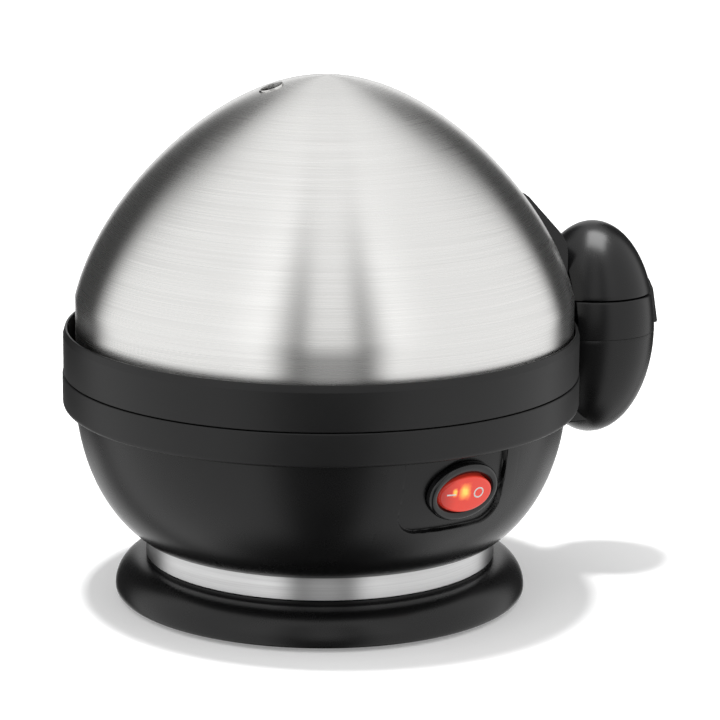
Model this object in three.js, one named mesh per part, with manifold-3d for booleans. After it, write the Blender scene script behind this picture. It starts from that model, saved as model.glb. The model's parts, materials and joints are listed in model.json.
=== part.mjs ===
// Egg cooker with a hinged steel dome lid, a seven-egg tray and a lit rocker switch.
// Millimetres, +Z up. The cooker stands on its three rubber feet at z = 0, and +X points
// from the cooker's axis towards its hinge handle. The origin is under the middle of the
// whole object, so the cooker's own axis stands a little towards -X.

import * as THREE from 'three';
import { mergeVertices } from 'three/addons/utils/BufferGeometryUtils.js';
import Module from 'manifold-3d';

const wasm = await Module();
wasm.setup();

// ---------------------------------------------------------------- driving dimensions

const GAP = 0.3; // between pieces that touch in the real object
const THROUGH = 1; // how far a cutter runs past what it cuts
const SEGMENTS = 36; // round a visible revolved piece
const INNER_SEGMENTS = 28; // round a hidden or small revolved piece
const ROD_SEGMENTS = 10; // round a screw, pin or lead

// Heights of the stack, from the feet up
const SKIRT_BOTTOM = 1.6;
const TRIM_BOTTOM = 14.9;
const TRIM_TOP = 23;
const BOWL_BOTTOM = 23.3;
const RIM_BOTTOM = 68.8;
const SEAM = 80.6; // joint between the base rim and the lid ring
const RING_TOP = 96.5;
const DOME_BOTTOM = 86.6;
const DOME_SPRING = 107.25; // the dome is upright below this height
const APEX = 184;
const DOME_STEP = 9; // degrees of rise between the dome's facets
const DOME_TAPER = 0.227; // how much more pointed than an ellipse the dome is
const DOME_TAPER_SQUARED = 0.023;

// Radii
const RIM_R = 90.5;
const RING_R = 90.2;
const RING_INNER_R = 88.7;
const DOME_R = 87;
const TRIM_R = 61.9;
const SKIRT_R = 72.6;
const BOWL_CORE_R = 48.2; // the bowl's side is an arc of an ellipse about a circle of this radius
const BOWL_SWELL = 38; // the ellipse's reach outwards
const BOWL_DROP = 56; // the ellipse's reach downwards
const BOWL_MIDDLE_Z = 74; // the ellipse's middle, where the bowl would be widest
const LIP_R = 86;
const PAN_FLANGE_R = 83;
const TRAY_R = 80;
const SHELF_R = 79;
const DOME_SHIFT = 1.2; // the dome sits this much towards the handle in its ring

// Walls
const SHEET = 0.8;
const WALL = 2.5;

// Screws, and the holes they pass or bite into
const SCREW_R = 1.4;
const SCREW_HEAD_R = 3;
const SCREW_PASS_R = 1.9;
const SCREW_BITE_R = 1.7;
const SCREW_HEAD = 1.5;

// Handle: an egg standing beside the cooker, split in three
const EGG_X = 105.3;
const EGG_Z = 87.5;
const EGG_R = 22.5;
const EGG_HALF_HEIGHT = 39;
const CAP_BOTTOM = 101.3;
const COLLAR_TOP = 100.9;
const COLLAR_BOTTOM = 87.3;
const SHIELD_FACE_X = 90.2;
const SHIELD_HALF_WIDTH = 11;
const SHIELD_SHOULDER = 125;
const SHIELD_TOP = 141.5;

// Lid hinge
const PIN_X = 120.5;
const PIN_Z = 94;
const PIN_R = 2;
const PIN_HALF = 13.5;
const BARREL_R = 6.4;
const KNUCKLE_R = 6.9; // rounds the collar so that the cap can swing over it
const SLOT_R = 10.3; // room in the collar for the cap's tongue
const TONGUE_WIDTH = 15;
const TONGUE_REACH = 7.9; // the tongue's outer face beyond the pin
const TONGUE_DROP = 5.4; // the tongue's lower edge below the pin

// Steam vent in the dome
const VENT_R = 4.2;
const VENT_OFFSET = 18.6;
const VENT_AZIMUTH = -95.5;

// Egg tray
const EGG_HOLE_R = 18;
const EGG_PITCH_R = 50;
const OUTER_EGGS = 6;
const TRAY_BOTTOM = 77.2;
const TRAY_SHEET = 1.6;
const TRAY_WALL_TOP = 81.4;

// Rocker switch, on a flat panel let into the bowl
const SWITCH_AZIMUTH = 12.5;
const SWITCH_Z = 55.5;
const SWITCH_TILT = 13.4;
const PANEL_DEPTH = 2.4;
const PANEL_WIDTH = 41;
const PANEL_MIDDLE = -2.5; // the panel reaches further to the switch's left
const PANEL_LOW = -14.6;
const PANEL_HIGH = 13.2;
const BEZEL_WIDTH = 28;
const BEZEL_HEIGHT = 21;
const SWITCH_WIDTH = 25; // the switch's body behind its bezel
const SWITCH_HEIGHT = 17;
const WELL_WALL = 1.6; // round the rocker
const ROCKER_WIDTH = 20.8;
const ROCKER_HEIGHT = 13;
const ROCKER_TILT = 6;
const ROCKER_PIVOT = -3.5;

const HANDLE_REACH = PIN_X + TONGUE_REACH;
const AXIS_X = (RIM_R - HANDLE_REACH) / 2;

const DEG = Math.PI / 180;

// ------------------------------------------------------------------------- materials

const FINISH = {
  brushedSteel: { color: 0xb9b9b7, roughness: 0.32, metalness: 1 },
  polishedSteel: { color: 0xc9c9c9, roughness: 0.18, metalness: 1 },
  satinBlack: { color: 0x141415, roughness: 0.42, metalness: 0 },
  mattCharcoal: { color: 0x2b2b2c, roughness: 0.62, metalness: 0 },
  glossBlack: { color: 0x101011, roughness: 0.26, metalness: 0 },
  rubber: { color: 0x1a1a1a, roughness: 0.85, metalness: 0 },
  redLens: { color: 0xd92316, roughness: 0.2, metalness: 0 },
  lampGlass: { color: 0xf4b35a, roughness: 0.1, metalness: 0 },
  aluminium: { color: 0xa9abad, roughness: 0.45, metalness: 1 },
  coatedPan: { color: 0x6f7174, roughness: 0.5, metalness: 0.8 },
  brass: { color: 0xc6a257, roughness: 0.35, metalness: 1 },
  ceramic: { color: 0xe6e1d6, roughness: 0.6, metalness: 0 },
  silicone: { color: 0xb8b5ad, roughness: 0.7, metalness: 0 },
  leadRed: { color: 0x8f2a22, roughness: 0.6, metalness: 0 },
  leadBlue: { color: 0x2a4a86, roughness: 0.6, metalness: 0 },
};

const material = Object.fromEntries(
  Object.entries(FINISH).map(([name, finish]) => [name, new THREE.MeshStandardMaterial(finish)]),
);

// -------------------------------------------------------------------- geometry tools

// One closed skin: shared corners are joined and the flat triangles at a pole dropped.
function closed(geometry) {
  const bare = geometry.clone();
  bare.deleteAttribute('normal');
  bare.deleteAttribute('uv');
  const merged = mergeVertices(bare, 1e-4);
  const index = [];
  for (let i = 0; i < merged.index.count; i += 3) {
    const [a, b, c] = [0, 1, 2].map((k) => merged.index.getX(i + k));
    if (a !== b && b !== c && c !== a) index.push(a, b, c);
  }
  merged.setIndex(index);
  return merged;
}

function solid(geometry) {
  const skin = closed(geometry);
  return new wasm.Manifold(new wasm.Mesh({
    numProp: 3,
    vertProperties: new Float32Array(skin.attributes.position.array),
    triVerts: new Uint32Array(skin.index.array),
  }));
}

function skinOf(body) {
  const mesh = body.getMesh();
  const geometry = new THREE.BufferGeometry();
  geometry.setAttribute('position', new THREE.BufferAttribute(mesh.vertProperties, 3));
  geometry.setIndex(new THREE.BufferAttribute(mesh.triVerts, 1));
  return geometry;
}

function cut(body, ...tools) {
  return tools.reduce((rest, tool) => rest.subtract(tool), body);
}

function join(body, ...others) {
  return others.reduce((whole, other) => whole.add(other), body);
}

// Revolves a closed outline of [radius, height] points about Z.
function revolve(outline, segments = SEGMENTS) {
  const doubledArea = outline.reduce((sum, [r, z], i) => {
    const [nextR, nextZ] = outline[(i + 1) % outline.length];
    return sum + r * nextZ - nextR * z;
  }, 0);
  const ordered = doubledArea > 0 ? outline : [...outline].reverse();
  const points = ordered.map(([r, z]) => new THREE.Vector2(r, z));
  const first = points[0];
  const last = points[points.length - 1];
  if (first.x > 0 || last.x > 0) points.push(first.clone());
  const geometry = new THREE.LatheGeometry(points, segments);
  return geometry.rotateX(Math.PI / 2);
}

function box(width, depth, height, x, y, z) {
  return new THREE.BoxGeometry(width, depth, height).translate(x, y, z);
}

// An upright rod standing on z = bottom.
function rod(radius, bottom, top, segments = ROD_SEGMENTS) {
  return revolve([[0, bottom], [radius, bottom], [radius, top], [0, top]], segments);
}

// A lead or rod of round section along a curve through the points.
function sweep(points, radius, steps, sides) {
  const section = new THREE.Shape();
  section.absarc(0, 0, radius, 0, 2 * Math.PI);
  return new THREE.ExtrudeGeometry(section, {
    extrudePath: new THREE.CatmullRomCurve3(points),
    steps,
    curveSegments: sides / 2,
  });
}

// An oval plate in the X-Y plane, from z = low to z = high.
function ovalPlate(width, height, low, high) {
  const outline = new THREE.Shape();
  outline.absellipse(0, 0, width / 2, height / 2, 0, 2 * Math.PI);
  return new THREE.ExtrudeGeometry(outline, {
    depth: high - low,
    bevelEnabled: false,
    curveSegments: INNER_SEGMENTS / 2,
  }).translate(0, 0, low);
}

// A point at an azimuth counted from -Y towards +X.
function polar(azimuth, radius, z) {
  const angle = azimuth * DEG;
  return new THREE.Vector3(radius * Math.sin(angle), -radius * Math.cos(angle), z);
}

// Turns a geometry whose own Z axis is to point outwards along an azimuth.
function aimOut(geometry, azimuth, z) {
  return geometry
    .rotateX(Math.PI / 2)
    .rotateZ(azimuth * DEG)
    .translate(0, 0, z);
}

function mesh(name, geometry, finish) {
  const piece = new THREE.Mesh(closed(geometry), material[finish]);
  piece.name = name;
  return piece;
}

// ------------------------------------------------------------------- shared profiles

// Radius of the dome's outside at a rise angle, 0 at the spring and 90 at the apex.
function domePoint(rise, inset) {
  const s = Math.sin(rise * DEG);
  const c = Math.cos(rise * DEG);
  const radius = (DOME_R - inset) * c * (1 - DOME_TAPER * s - DOME_TAPER_SQUARED * s * s);
  return [radius, DOME_SPRING + (APEX - inset - DOME_SPRING) * s];
}

function domeOutline(inset, step) {
  const outline = [[DOME_R - inset, DOME_BOTTOM]];
  for (let rise = 0; rise < 90; rise += step) outline.push(domePoint(rise, inset));
  outline.push([0, APEX - inset]);
  return outline;
}

// The bowl is an arc of an ellipse turned about the axis.
function bowlPoint(z, inset) {
  const s = (BOWL_MIDDLE_Z - z) / BOWL_DROP;
  return [BOWL_CORE_R - inset + BOWL_SWELL * Math.sqrt(1 - s * s), z];
}

function bowlOutline(low, high, inset, steps) {
  return Array.from({ length: steps + 1 }, (_, i) => {
    const z = low + ((high - low) * i) / steps;
    return bowlPoint(z, inset);
  });
}

function bowlCore(inset) {
  const side = bowlOutline(BOWL_BOTTOM, RIM_BOTTOM, inset, 6);
  return solid(revolve([[0, BOWL_BOTTOM], ...side, [0, RIM_BOTTOM]]));
}

// ------------------------------------------------------------------------------- lid

const SHIELD_SCREW_Z = 105;
const SHIELD_SCREW_Y = 6;

// Calls make(side) for the two sides of the handle, -1 and 1.
function onBothSides(make) {
  return [-1, 1].map(make);
}

// A rod of the given radius along X, for the screws that run out towards the handle.
function radialRod(radius, from, to, y, z, segments = ROD_SEGMENTS) {
  return rod(radius, from, to, segments).rotateY(Math.PI / 2).translate(0, y, z);
}

// Clearance through the dome and the shield for the screws that hold the cap.
function shieldScrewHoles() {
  return onBothSides((side) => (
    solid(radialRod(SCREW_PASS_R, DOME_R - 6, DOME_R + 6, side * SHIELD_SCREW_Y, SHIELD_SCREW_Z))
  ));
}

function domeShell() {
  const outside = domeOutline(0, DOME_STEP);
  const inside = domeOutline(SHEET, 2 * DOME_STEP).reverse();
  const shell = solid(revolve([...outside, ...inside])).translate([DOME_SHIFT, 0, 0]);
  const ventPlace = polar(VENT_AZIMUTH, VENT_OFFSET, 0);
  const vent = solid(rod(VENT_R, APEX - 20, APEX + THROUGH, 20).translate(...ventPlace));
  return mesh('dome_shell', skinOf(cut(shell, vent, ...shieldScrewHoles())), 'brushedSteel');
}

// A ring with a chamfered top, a floor for the dome and a lip that drops into the base rim.
function lidRing() {
  const chamfer = { width: 0.7, height: 2.4 };
  const floor = DOME_BOTTOM - GAP;
  const lipBottom = SEAM - 2.6;
  const lipInnerR = LIP_R - 2;
  const outline = [
    [RING_R, SEAM + GAP],
    [RING_R, RING_TOP - chamfer.height],
    [RING_R - chamfer.width, RING_TOP],
    [RING_INNER_R, RING_TOP],
    [RING_INNER_R, floor],
    [lipInnerR, floor],
    [lipInnerR, lipBottom],
    [LIP_R, lipBottom],
    [LIP_R, SEAM + GAP],
  ];
  return mesh('lid_ring', revolve(outline), 'mattCharcoal');
}

// The fairing behind the dome that carries the handle's cap and stands on the lid ring.
function hingeShield() {
  const foot = RING_TOP + GAP;
  const insideDome = 60;
  const side = new THREE.Shape([
    new THREE.Vector2(insideDome, foot),
    new THREE.Vector2(SHIELD_FACE_X, foot),
    new THREE.Vector2(SHIELD_FACE_X, SHIELD_SHOULDER - 3),
    new THREE.Vector2(SHIELD_FACE_X - 1.6, SHIELD_SHOULDER + 1.5),
    new THREE.Vector2(SHIELD_FACE_X - 16, SHIELD_TOP),
    new THREE.Vector2(insideDome, SHIELD_TOP + 2),
  ]);
  const block = new THREE.ExtrudeGeometry(side, { depth: 2 * SHIELD_HALF_WIDTH, bevelEnabled: false })
    .rotateX(Math.PI / 2)
    .translate(0, SHIELD_HALF_WIDTH, 0);
  const dome = solid(revolve([[0, DOME_BOTTOM], ...domeOutline(-GAP, DOME_STEP)]))
    .translate([DOME_SHIFT, 0, 0]);
  return mesh('hinge_shield', skinOf(cut(solid(block), dome, ...shieldScrewHoles())), 'satinBlack');
}

// An egg on the handle's centre, drawn in by inset all round.
function egg(inset) {
  const steps = 12;
  const outline = Array.from({ length: steps + 1 }, (_, i) => {
    const angle = (i / steps - 0.5) * Math.PI;
    return [
      i % steps === 0 ? 0 : (EGG_R - inset) * Math.cos(angle),
      EGG_Z + (EGG_HALF_HEIGHT - inset) * Math.sin(angle),
    ];
  });
  return solid(revolve(outline, INNER_SEGMENTS).translate(EGG_X, 0, 0));
}

// A block over the whole handle between two heights.
function handleSlab(low, high, innerX = EGG_X - 2 * EGG_R) {
  const outerX = EGG_X + 2 * EGG_R;
  const middle = (innerX + outerX) / 2;
  return solid(box(outerX - innerX, 3 * EGG_R, high - low, middle, 0, (low + high) / 2));
}

// A drum about the hinge pin.
function pinDrum(radius, width, segments = 24) {
  return solid(rod(radius, -width / 2, width / 2, segments)
    .rotateX(Math.PI / 2)
    .translate(PIN_X, 0, PIN_Z));
}

// The tongue that hangs from the cap round the pin; its outer face shows as a flap.
function hingeTongue() {
  const root = CAP_BOTTOM + 4;
  const flap = new THREE.Shape([
    new THREE.Vector2(PIN_X - BARREL_R, root),
    new THREE.Vector2(PIN_X - BARREL_R, PIN_Z),
    new THREE.Vector2(PIN_X, PIN_Z),
    new THREE.Vector2(PIN_X + 3, PIN_Z - TONGUE_DROP),
    new THREE.Vector2(PIN_X + TONGUE_REACH, PIN_Z - TONGUE_DROP),
    new THREE.Vector2(PIN_X + 6.1, CAP_BOTTOM),
    new THREE.Vector2(PIN_X + 4.4, root),
  ]);
  const plate = new THREE.ExtrudeGeometry(flap, { depth: TONGUE_WIDTH, bevelEnabled: false })
    .rotateX(Math.PI / 2)
    .translate(0, TONGUE_WIDTH / 2, 0);
  return join(solid(plate), pinDrum(BARREL_R, TONGUE_WIDTH));
}

function handleCap() {
  const face = SHIELD_FACE_X + GAP;
  const top = EGG_Z + EGG_HALF_HEIGHT + THROUGH;
  const shell = egg(0).intersect(handleSlab(CAP_BOTTOM, top, face));
  const hollow = egg(WALL).intersect(handleSlab(CAP_BOTTOM - THROUGH, top, face + WALL));
  const bosses = onBothSides((side) => (
    solid(radialRod(3.4, face + GAP, face + 8, side * SHIELD_SCREW_Y, SHIELD_SCREW_Z))
  ));
  const screwHoles = onBothSides((side) => (
    solid(radialRod(SCREW_BITE_R, face - 2, face + 7, side * SHIELD_SCREW_Y, SHIELD_SCREW_Z))
  ));
  const body = cut(join(cut(shell, hollow), ...bosses, hingeTongue()), ...screwHoles);
  const bored = cut(body, pinDrum(PIN_R + GAP, 2 * TONGUE_WIDTH));
  return mesh('handle_cap_upper', skinOf(bored), 'satinBlack');
}

// A screw's outline from the middle of its head to the middle of its tip.
function screwOutline(length) {
  return [
    [0, 0], [SCREW_HEAD_R, 0], [SCREW_HEAD_R, SCREW_HEAD],
    [SCREW_R, SCREW_HEAD], [SCREW_R, length], [0, length],
  ];
}

function radialScrew(name, headX, length, y, z) {
  const outline = screwOutline(length);
  const geometry = revolve(outline, ROD_SEGMENTS).rotateY(Math.PI / 2).translate(headX, y, z);
  return mesh(name, geometry, 'polishedSteel');
}

function shieldScrews() {
  const headX = DOME_R + DOME_SHIFT - SHEET - 2.4;
  return onBothSides((side) => (
    radialScrew(`shield_screw_${side < 0 ? 1 : 2}`, headX, 10, side * SHIELD_SCREW_Y, SHIELD_SCREW_Z)
  ));
}

// ---------------------------------------------------------------------- hinge handle

const HANDLE_CLEAR_R = RIM_R + 0.4;
const BODY_SCREW_Z = 61;
const BODY_SCREW_Y = 6;

function roundCooker() {
  return solid(rod(HANDLE_CLEAR_R, 0, APEX, SEGMENTS));
}

// The space that the cap's tongue turns in.
function tongueRoom() {
  return pinDrum(SLOT_R, TONGUE_WIDTH + 2 * GAP, 30);
}

function hingeCollar() {
  const slab = egg(0).intersect(handleSlab(COLLAR_BOTTOM, COLLAR_TOP, SHIELD_FACE_X + 1));
  const corner = solid(box(12, 3 * EGG_R, 10, PIN_X + 6, 0, PIN_Z + 5));
  const shoulder = cut(corner, pinDrum(KNUCKLE_R, 4 * EGG_R, 36));
  const mouthX = PIN_X - SLOT_R + 6;
  const mouth = solid(box(12, TONGUE_WIDTH + 2 * GAP, 8, mouthX, 0, COLLAR_TOP));
  const body = cut(slab, shoulder, tongueRoom(), mouth);
  const bore = pinDrum(PIN_R + GAP, 2 * PIN_HALF + 1);
  return mesh('hinge_collar', skinOf(cut(body, bore)), 'satinBlack');
}

function handleBody() {
  const low = EGG_Z - EGG_HALF_HEIGHT - THROUGH;
  const high = COLLAR_BOTTOM - GAP;
  const shell = egg(0).intersect(handleSlab(low, high));
  const inner = HANDLE_CLEAR_R + WALL;
  const hollow = egg(WALL).intersect(handleSlab(low, high + THROUGH, inner));
  const arm = solid(box(22, 24, 12, 91, 0, BODY_SCREW_Z));
  const bowl = bowlCore(-GAP);
  const screwHoles = onBothSides((side) => (
    solid(radialRod(SCREW_BITE_R, 80, 99, side * BODY_SCREW_Y, BODY_SCREW_Z))
  ));
  const trimmed = cut(cut(shell, roundCooker()), hollow);
  const rimRing = solid(revolve([
    [70, RIM_BOTTOM - GAP], [HANDLE_CLEAR_R, RIM_BOTTOM - GAP],
    [HANDLE_CLEAR_R, SEAM], [70, SEAM],
  ]));
  const body = cut(join(trimmed, arm), bowl, rimRing, tongueRoom(), ...screwHoles);
  return mesh('handle_body_lower', skinOf(body), 'satinBlack');
}

function hingePin() {
  const chamfer = 0.4;
  const outline = [
    [0, -PIN_HALF], [PIN_R - chamfer, -PIN_HALF], [PIN_R, chamfer - PIN_HALF],
    [PIN_R, PIN_HALF - chamfer], [PIN_R - chamfer, PIN_HALF], [0, PIN_HALF],
  ];
  const geometry = revolve(outline, ROD_SEGMENTS)
    .rotateX(Math.PI / 2)
    .translate(PIN_X, 0, PIN_Z);
  return mesh('hinge_pin', geometry, 'polishedSteel');
}

function bodyScrews() {
  const wallX = bowlPoint(BODY_SCREW_Z, WALL)[0];
  return onBothSides((side) => (
    radialScrew(`handle_screw_${side < 0 ? 1 : 2}`, wallX - 3.3, 15, side * BODY_SCREW_Y, BODY_SCREW_Z)
  ));
}

// ------------------------------------------------------------------------------ base

const SHELF_TOP = 74.2;
const BOWL_FLANGE_TOP = 71.4;
const FLOOR_R = 50;
const FLOOR_TOP = BOWL_BOTTOM + WALL;
const HOUSING_SCREW_R = 54;
const BOSS_R = 4;
const BOSS_TOP = 33;
const HOUSING_SCREW_AZIMUTHS = [40, 160, 280];
const COVER_BOTTOM = 4;
const COVER_TOP = 6;
const COVER_R = 68;
const COVER_SCREW_R = 59.4;
const COVER_SCREW_AZIMUTHS = [-26, 94, 214];
const FOOT_R = 64.5;
const FOOT_PAD_R = 5;
const FOOT_AZIMUTHS = [-86, 34, 154];
const GLAND_AZIMUTH = 180;
const GLAND_Z = 7.6;
const GLAND_R = 3.6;
const GLAND_BORE_R = 2.8;

function baseRim() {
  const round = 2.2;
  const outline = [
    [RIM_R - round, RIM_BOTTOM],
    [RIM_R - 0.3 * round, RIM_BOTTOM + 0.3 * round],
    [RIM_R, RIM_BOTTOM + round],
    [RIM_R, SEAM],
    [LIP_R + 1.6, SEAM],
    [LIP_R + 1.6, SHELF_TOP],
    [SHELF_R, SHELF_TOP],
    [SHELF_R, BOWL_FLANGE_TOP + GAP],
    [LIP_R + 0.4, BOWL_FLANGE_TOP + GAP],
    [LIP_R + 0.4, RIM_BOTTOM],
  ];
  return mesh('base_rim', revolve(outline), 'mattCharcoal');
}

// Places a geometry drawn on the switch panel: X to the right, Y up and Z outwards.
function onPanel(geometry) {
  const turn = SWITCH_AZIMUTH * DEG;
  const tilt = SWITCH_TILT * DEG;
  const right = new THREE.Vector3(Math.cos(turn), Math.sin(turn), 0);
  const out = polar(SWITCH_AZIMUTH, Math.cos(tilt), -Math.sin(tilt));
  const up = new THREE.Vector3().crossVectors(out, right);
  const frame = new THREE.Matrix4().makeBasis(right, up, out);
  frame.setPosition(polar(SWITCH_AZIMUTH, bowlPoint(SWITCH_Z, 0)[0], SWITCH_Z));
  return geometry.applyMatrix4(frame);
}

// The panel's outline: straight sides and a round-cornered foot.
function panelShape(grow) {
  const left = PANEL_MIDDLE - PANEL_WIDTH / 2 - grow;
  const right = PANEL_MIDDLE + PANEL_WIDTH / 2 + grow;
  const low = PANEL_LOW - grow;
  const corner = 8 + grow;
  const shape = new THREE.Shape();
  shape.moveTo(right, PANEL_HIGH);
  shape.lineTo(left, PANEL_HIGH);
  shape.lineTo(left, low + corner);
  shape.absarc(left + corner, low + corner, corner, Math.PI, 1.5 * Math.PI);
  shape.absarc(right - corner, low + corner, corner, 1.5 * Math.PI, 2 * Math.PI);
  return shape;
}

function panelSlab(grow, low, high) {
  return solid(onPanel(new THREE.ExtrudeGeometry(panelShape(grow), {
    depth: high - low,
    bevelEnabled: false,
    curveSegments: 6,
  }).translate(0, 0, low)));
}

function bowlHousing() {
  const outside = bowlOutline(BOWL_BOTTOM, RIM_BOTTOM, 0, 6);
  const inside = bowlOutline(FLOOR_TOP, RIM_BOTTOM, WALL, 5).reverse();
  const shell = solid(revolve([
    [FLOOR_R, BOWL_BOTTOM],
    ...outside,
    [bowlPoint(RIM_BOTTOM, 0)[0], BOWL_FLANGE_TOP],
    [bowlPoint(RIM_BOTTOM, WALL)[0], BOWL_FLANGE_TOP],
    ...inside,
    [FLOOR_R, FLOOR_TOP],
  ]));
  const backing = panelSlab(WALL, -PANEL_DEPTH - WALL, 0).intersect(bowlCore(0));
  const recess = panelSlab(0, -PANEL_DEPTH, 14);
  const switchHole = solid(onPanel(ovalPlate(SWITCH_WIDTH + 0.8, SWITCH_HEIGHT + 0.8, -14, 4)));
  const bosses = HOUSING_SCREW_AZIMUTHS.map((azimuth) => (
    solid(rod(BOSS_R, FLOOR_TOP - THROUGH, BOSS_TOP).translate(...polar(azimuth, HOUSING_SCREW_R, 0)))
  ));
  const bossHoles = HOUSING_SCREW_AZIMUTHS.map((azimuth) => (
    solid(rod(SCREW_PASS_R, BOWL_BOTTOM - THROUGH, BOSS_TOP - 2).translate(
      ...polar(azimuth, HOUSING_SCREW_R, 0),
    ))
  ));
  const handleHoles = onBothSides((side) => (
    solid(radialRod(SCREW_PASS_R, 74, 92, side * BODY_SCREW_Y, BODY_SCREW_Z))
  ));
  const body = cut(join(shell, backing, ...bosses), recess, switchHole, ...bossHoles, ...handleHoles);
  return mesh('bowl_housing', skinOf(body), 'satinBlack');
}

function trimRing() {
  const innerR = TRIM_R - 1.2;
  const outline = [
    [TRIM_R, TRIM_BOTTOM], [TRIM_R, TRIM_TOP], [innerR, TRIM_TOP], [innerR, TRIM_BOTTOM],
  ];
  return mesh('steel_trim_ring', revolve(outline), 'polishedSteel');
}

// A quarter of an ellipse from the foot's neck out to its edge.
function flare(neckR, edgeR, low, high, steps) {
  return Array.from({ length: steps + 1 }, (_, i) => {
    const angle = (i / steps) * 0.5 * Math.PI;
    return [
      neckR + (edgeR - neckR) * Math.sin(angle),
      low + (high - low) * Math.cos(angle),
    ];
  });
}

function skirtScrewPlaces() {
  return HOUSING_SCREW_AZIMUTHS.map((azimuth) => polar(azimuth, HOUSING_SCREW_R, 0));
}

function footSkirt() {
  const neckR = TRIM_R - 1.5;
  const outside = flare(TRIM_R - 0.2, SKIRT_R, SKIRT_BOTTOM + 1.4, 13.5, 5);
  const inside = flare(neckR - WALL, SKIRT_R - 2.4, SKIRT_BOTTOM, 12, 4).reverse();
  const shell = solid(revolve([
    [SKIRT_R, SKIRT_BOTTOM],
    ...outside.reverse(),
    [TRIM_R - 0.2, TRIM_BOTTOM - GAP],
    [neckR, TRIM_BOTTOM - GAP],
    [neckR, BOWL_BOTTOM - GAP],
    [FLOOR_R, BOWL_BOTTOM - GAP],
    [FLOOR_R, BOWL_BOTTOM - GAP - WALL],
    [neckR - WALL, BOWL_BOTTOM - GAP - WALL],
    ...inside.reverse(),
  ]));
  const posts = COVER_SCREW_AZIMUTHS.map((azimuth) => (
    solid(rod(2 * SCREW_BITE_R, COVER_TOP + GAP, 12.6).translate(...polar(azimuth, COVER_SCREW_R, 0)))
  ));
  const postHoles = COVER_SCREW_AZIMUTHS.map((azimuth) => (
    solid(rod(SCREW_BITE_R, COVER_TOP, 12).translate(...polar(azimuth, COVER_SCREW_R, 0)))
  ));
  const ledgeHoles = skirtScrewPlaces().map((place) => (
    solid(rod(SCREW_PASS_R, BOWL_BOTTOM - 6, BOWL_BOTTOM + THROUGH).translate(...place))
  ));
  const glandHole = solid(aimOut(rod(GLAND_R + GAP, 40, 90, 20), GLAND_AZIMUTH, GLAND_Z));
  const body = cut(join(shell, ...posts), ...postHoles, ...ledgeHoles, glandHole);
  return mesh('foot_skirt', skinOf(body), 'satinBlack');
}

function bottomCover() {
  const disc = solid(rod(COVER_R, COVER_BOTTOM, COVER_TOP, SEGMENTS));
  const holes = COVER_SCREW_AZIMUTHS.map((azimuth) => (
    solid(rod(SCREW_BITE_R, 0, 10).translate(...polar(azimuth, COVER_SCREW_R, 0)))
  ));
  const vents = [-24, -12, 0, 12, 24].map((x) => (
    solid(box(3, 36, 6, x, 0, COVER_TOP))
  ));
  const glandNotch = solid(box(2 * GLAND_R + 1.2, 20, 6, 0, COVER_R, COVER_TOP));
  return mesh('bottom_cover', skinOf(cut(disc, ...holes, ...vents, glandNotch)), 'satinBlack');
}

// An upright screw with its head down.
function uprightScrew(name, place, headBottom, top) {
  const geometry = revolve(screwOutline(top - headBottom), ROD_SEGMENTS)
    .translate(place.x, place.y, headBottom);
  return mesh(name, geometry, 'polishedSteel');
}

function housingScrews() {
  const headBottom = BOWL_BOTTOM - GAP - WALL - 1.8;
  return skirtScrewPlaces().map((place, i) => (
    uprightScrew(`housing_screw_${i + 1}`, place, headBottom, 30)
  ));
}

function coverScrews() {
  return COVER_SCREW_AZIMUTHS.map((azimuth, i) => (
    uprightScrew(`cover_screw_${i + 1}`, polar(azimuth, COVER_SCREW_R, 0), COVER_BOTTOM - 1.8, 11.6)
  ));
}

function rubberFeet() {
  return FOOT_AZIMUTHS.map((azimuth, i) => {
    const top = COVER_BOTTOM - GAP;
    const outline = [[0, 0], [FOOT_PAD_R - 0.6, 0], [FOOT_PAD_R, 0.6], [FOOT_PAD_R, top], [0, top]];
    const geometry = revolve(outline, 20).translate(...polar(azimuth, FOOT_R, 0));
    return mesh(`rubber_foot_${i + 1}`, geometry, 'rubber');
  });
}

function cordGland() {
  const mouth = SKIRT_R + 3;
  const outline = [
    [GLAND_BORE_R, 62], [GLAND_R, 62], [GLAND_R, SKIRT_R + 0.6], [GLAND_R + 0.8, SKIRT_R + 0.6],
    [GLAND_R + 0.8, mouth - 0.6], [GLAND_R + 0.2, mouth], [GLAND_BORE_R, mouth],
  ];
  return mesh('cord_gland', aimOut(revolve(outline, 20), GLAND_AZIMUTH, GLAND_Z), 'rubber');
}

function cordClamp() {
  const place = polar(GLAND_AZIMUTH, 50, 0);
  const bridge = solid(box(20, 8, 8, place.x, place.y, COVER_TOP + GAP + 4));
  const channel = solid(box(6.4, 10, 5, place.x, place.y, COVER_TOP + GAP + 1.9));
  return mesh('cord_clamp', skinOf(cut(bridge, channel)), 'satinBlack');
}

// -------------------------------------------------------------------- heater and pan

const PAN_FLOOR = 66;
const PLATE_TOP = PAN_FLOOR - GAP;
const PLATE_BOTTOM = PLATE_TOP - 3;
const ELEMENT_R = 36;
const ELEMENT_TUBE_R = 3.2;
const ELEMENT_Z = PLATE_BOTTOM - 2 * GAP - ELEMENT_TUBE_R;
const ELEMENT_END_AZIMUTHS = [165, 195];
const ELEMENT_END_Z = 47;
const NUT_AZIMUTHS = [30, 150, 270];

function waterPan() {
  const flange = SHELF_TOP + 1.5;
  const outline = [
    [0, PAN_FLOOR], [56, PAN_FLOOR], [63, PAN_FLOOR + 3.6], [77.4, flange],
    [PAN_FLANGE_R, flange], [PAN_FLANGE_R, flange + 1.2], [77, flange + 1.2],
    [62.6, PAN_FLOOR + 4.9], [55.6, PAN_FLOOR + 1.2], [0, PAN_FLOOR + 1.2],
  ];
  return mesh('water_pan', revolve(outline), 'coatedPan');
}

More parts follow.
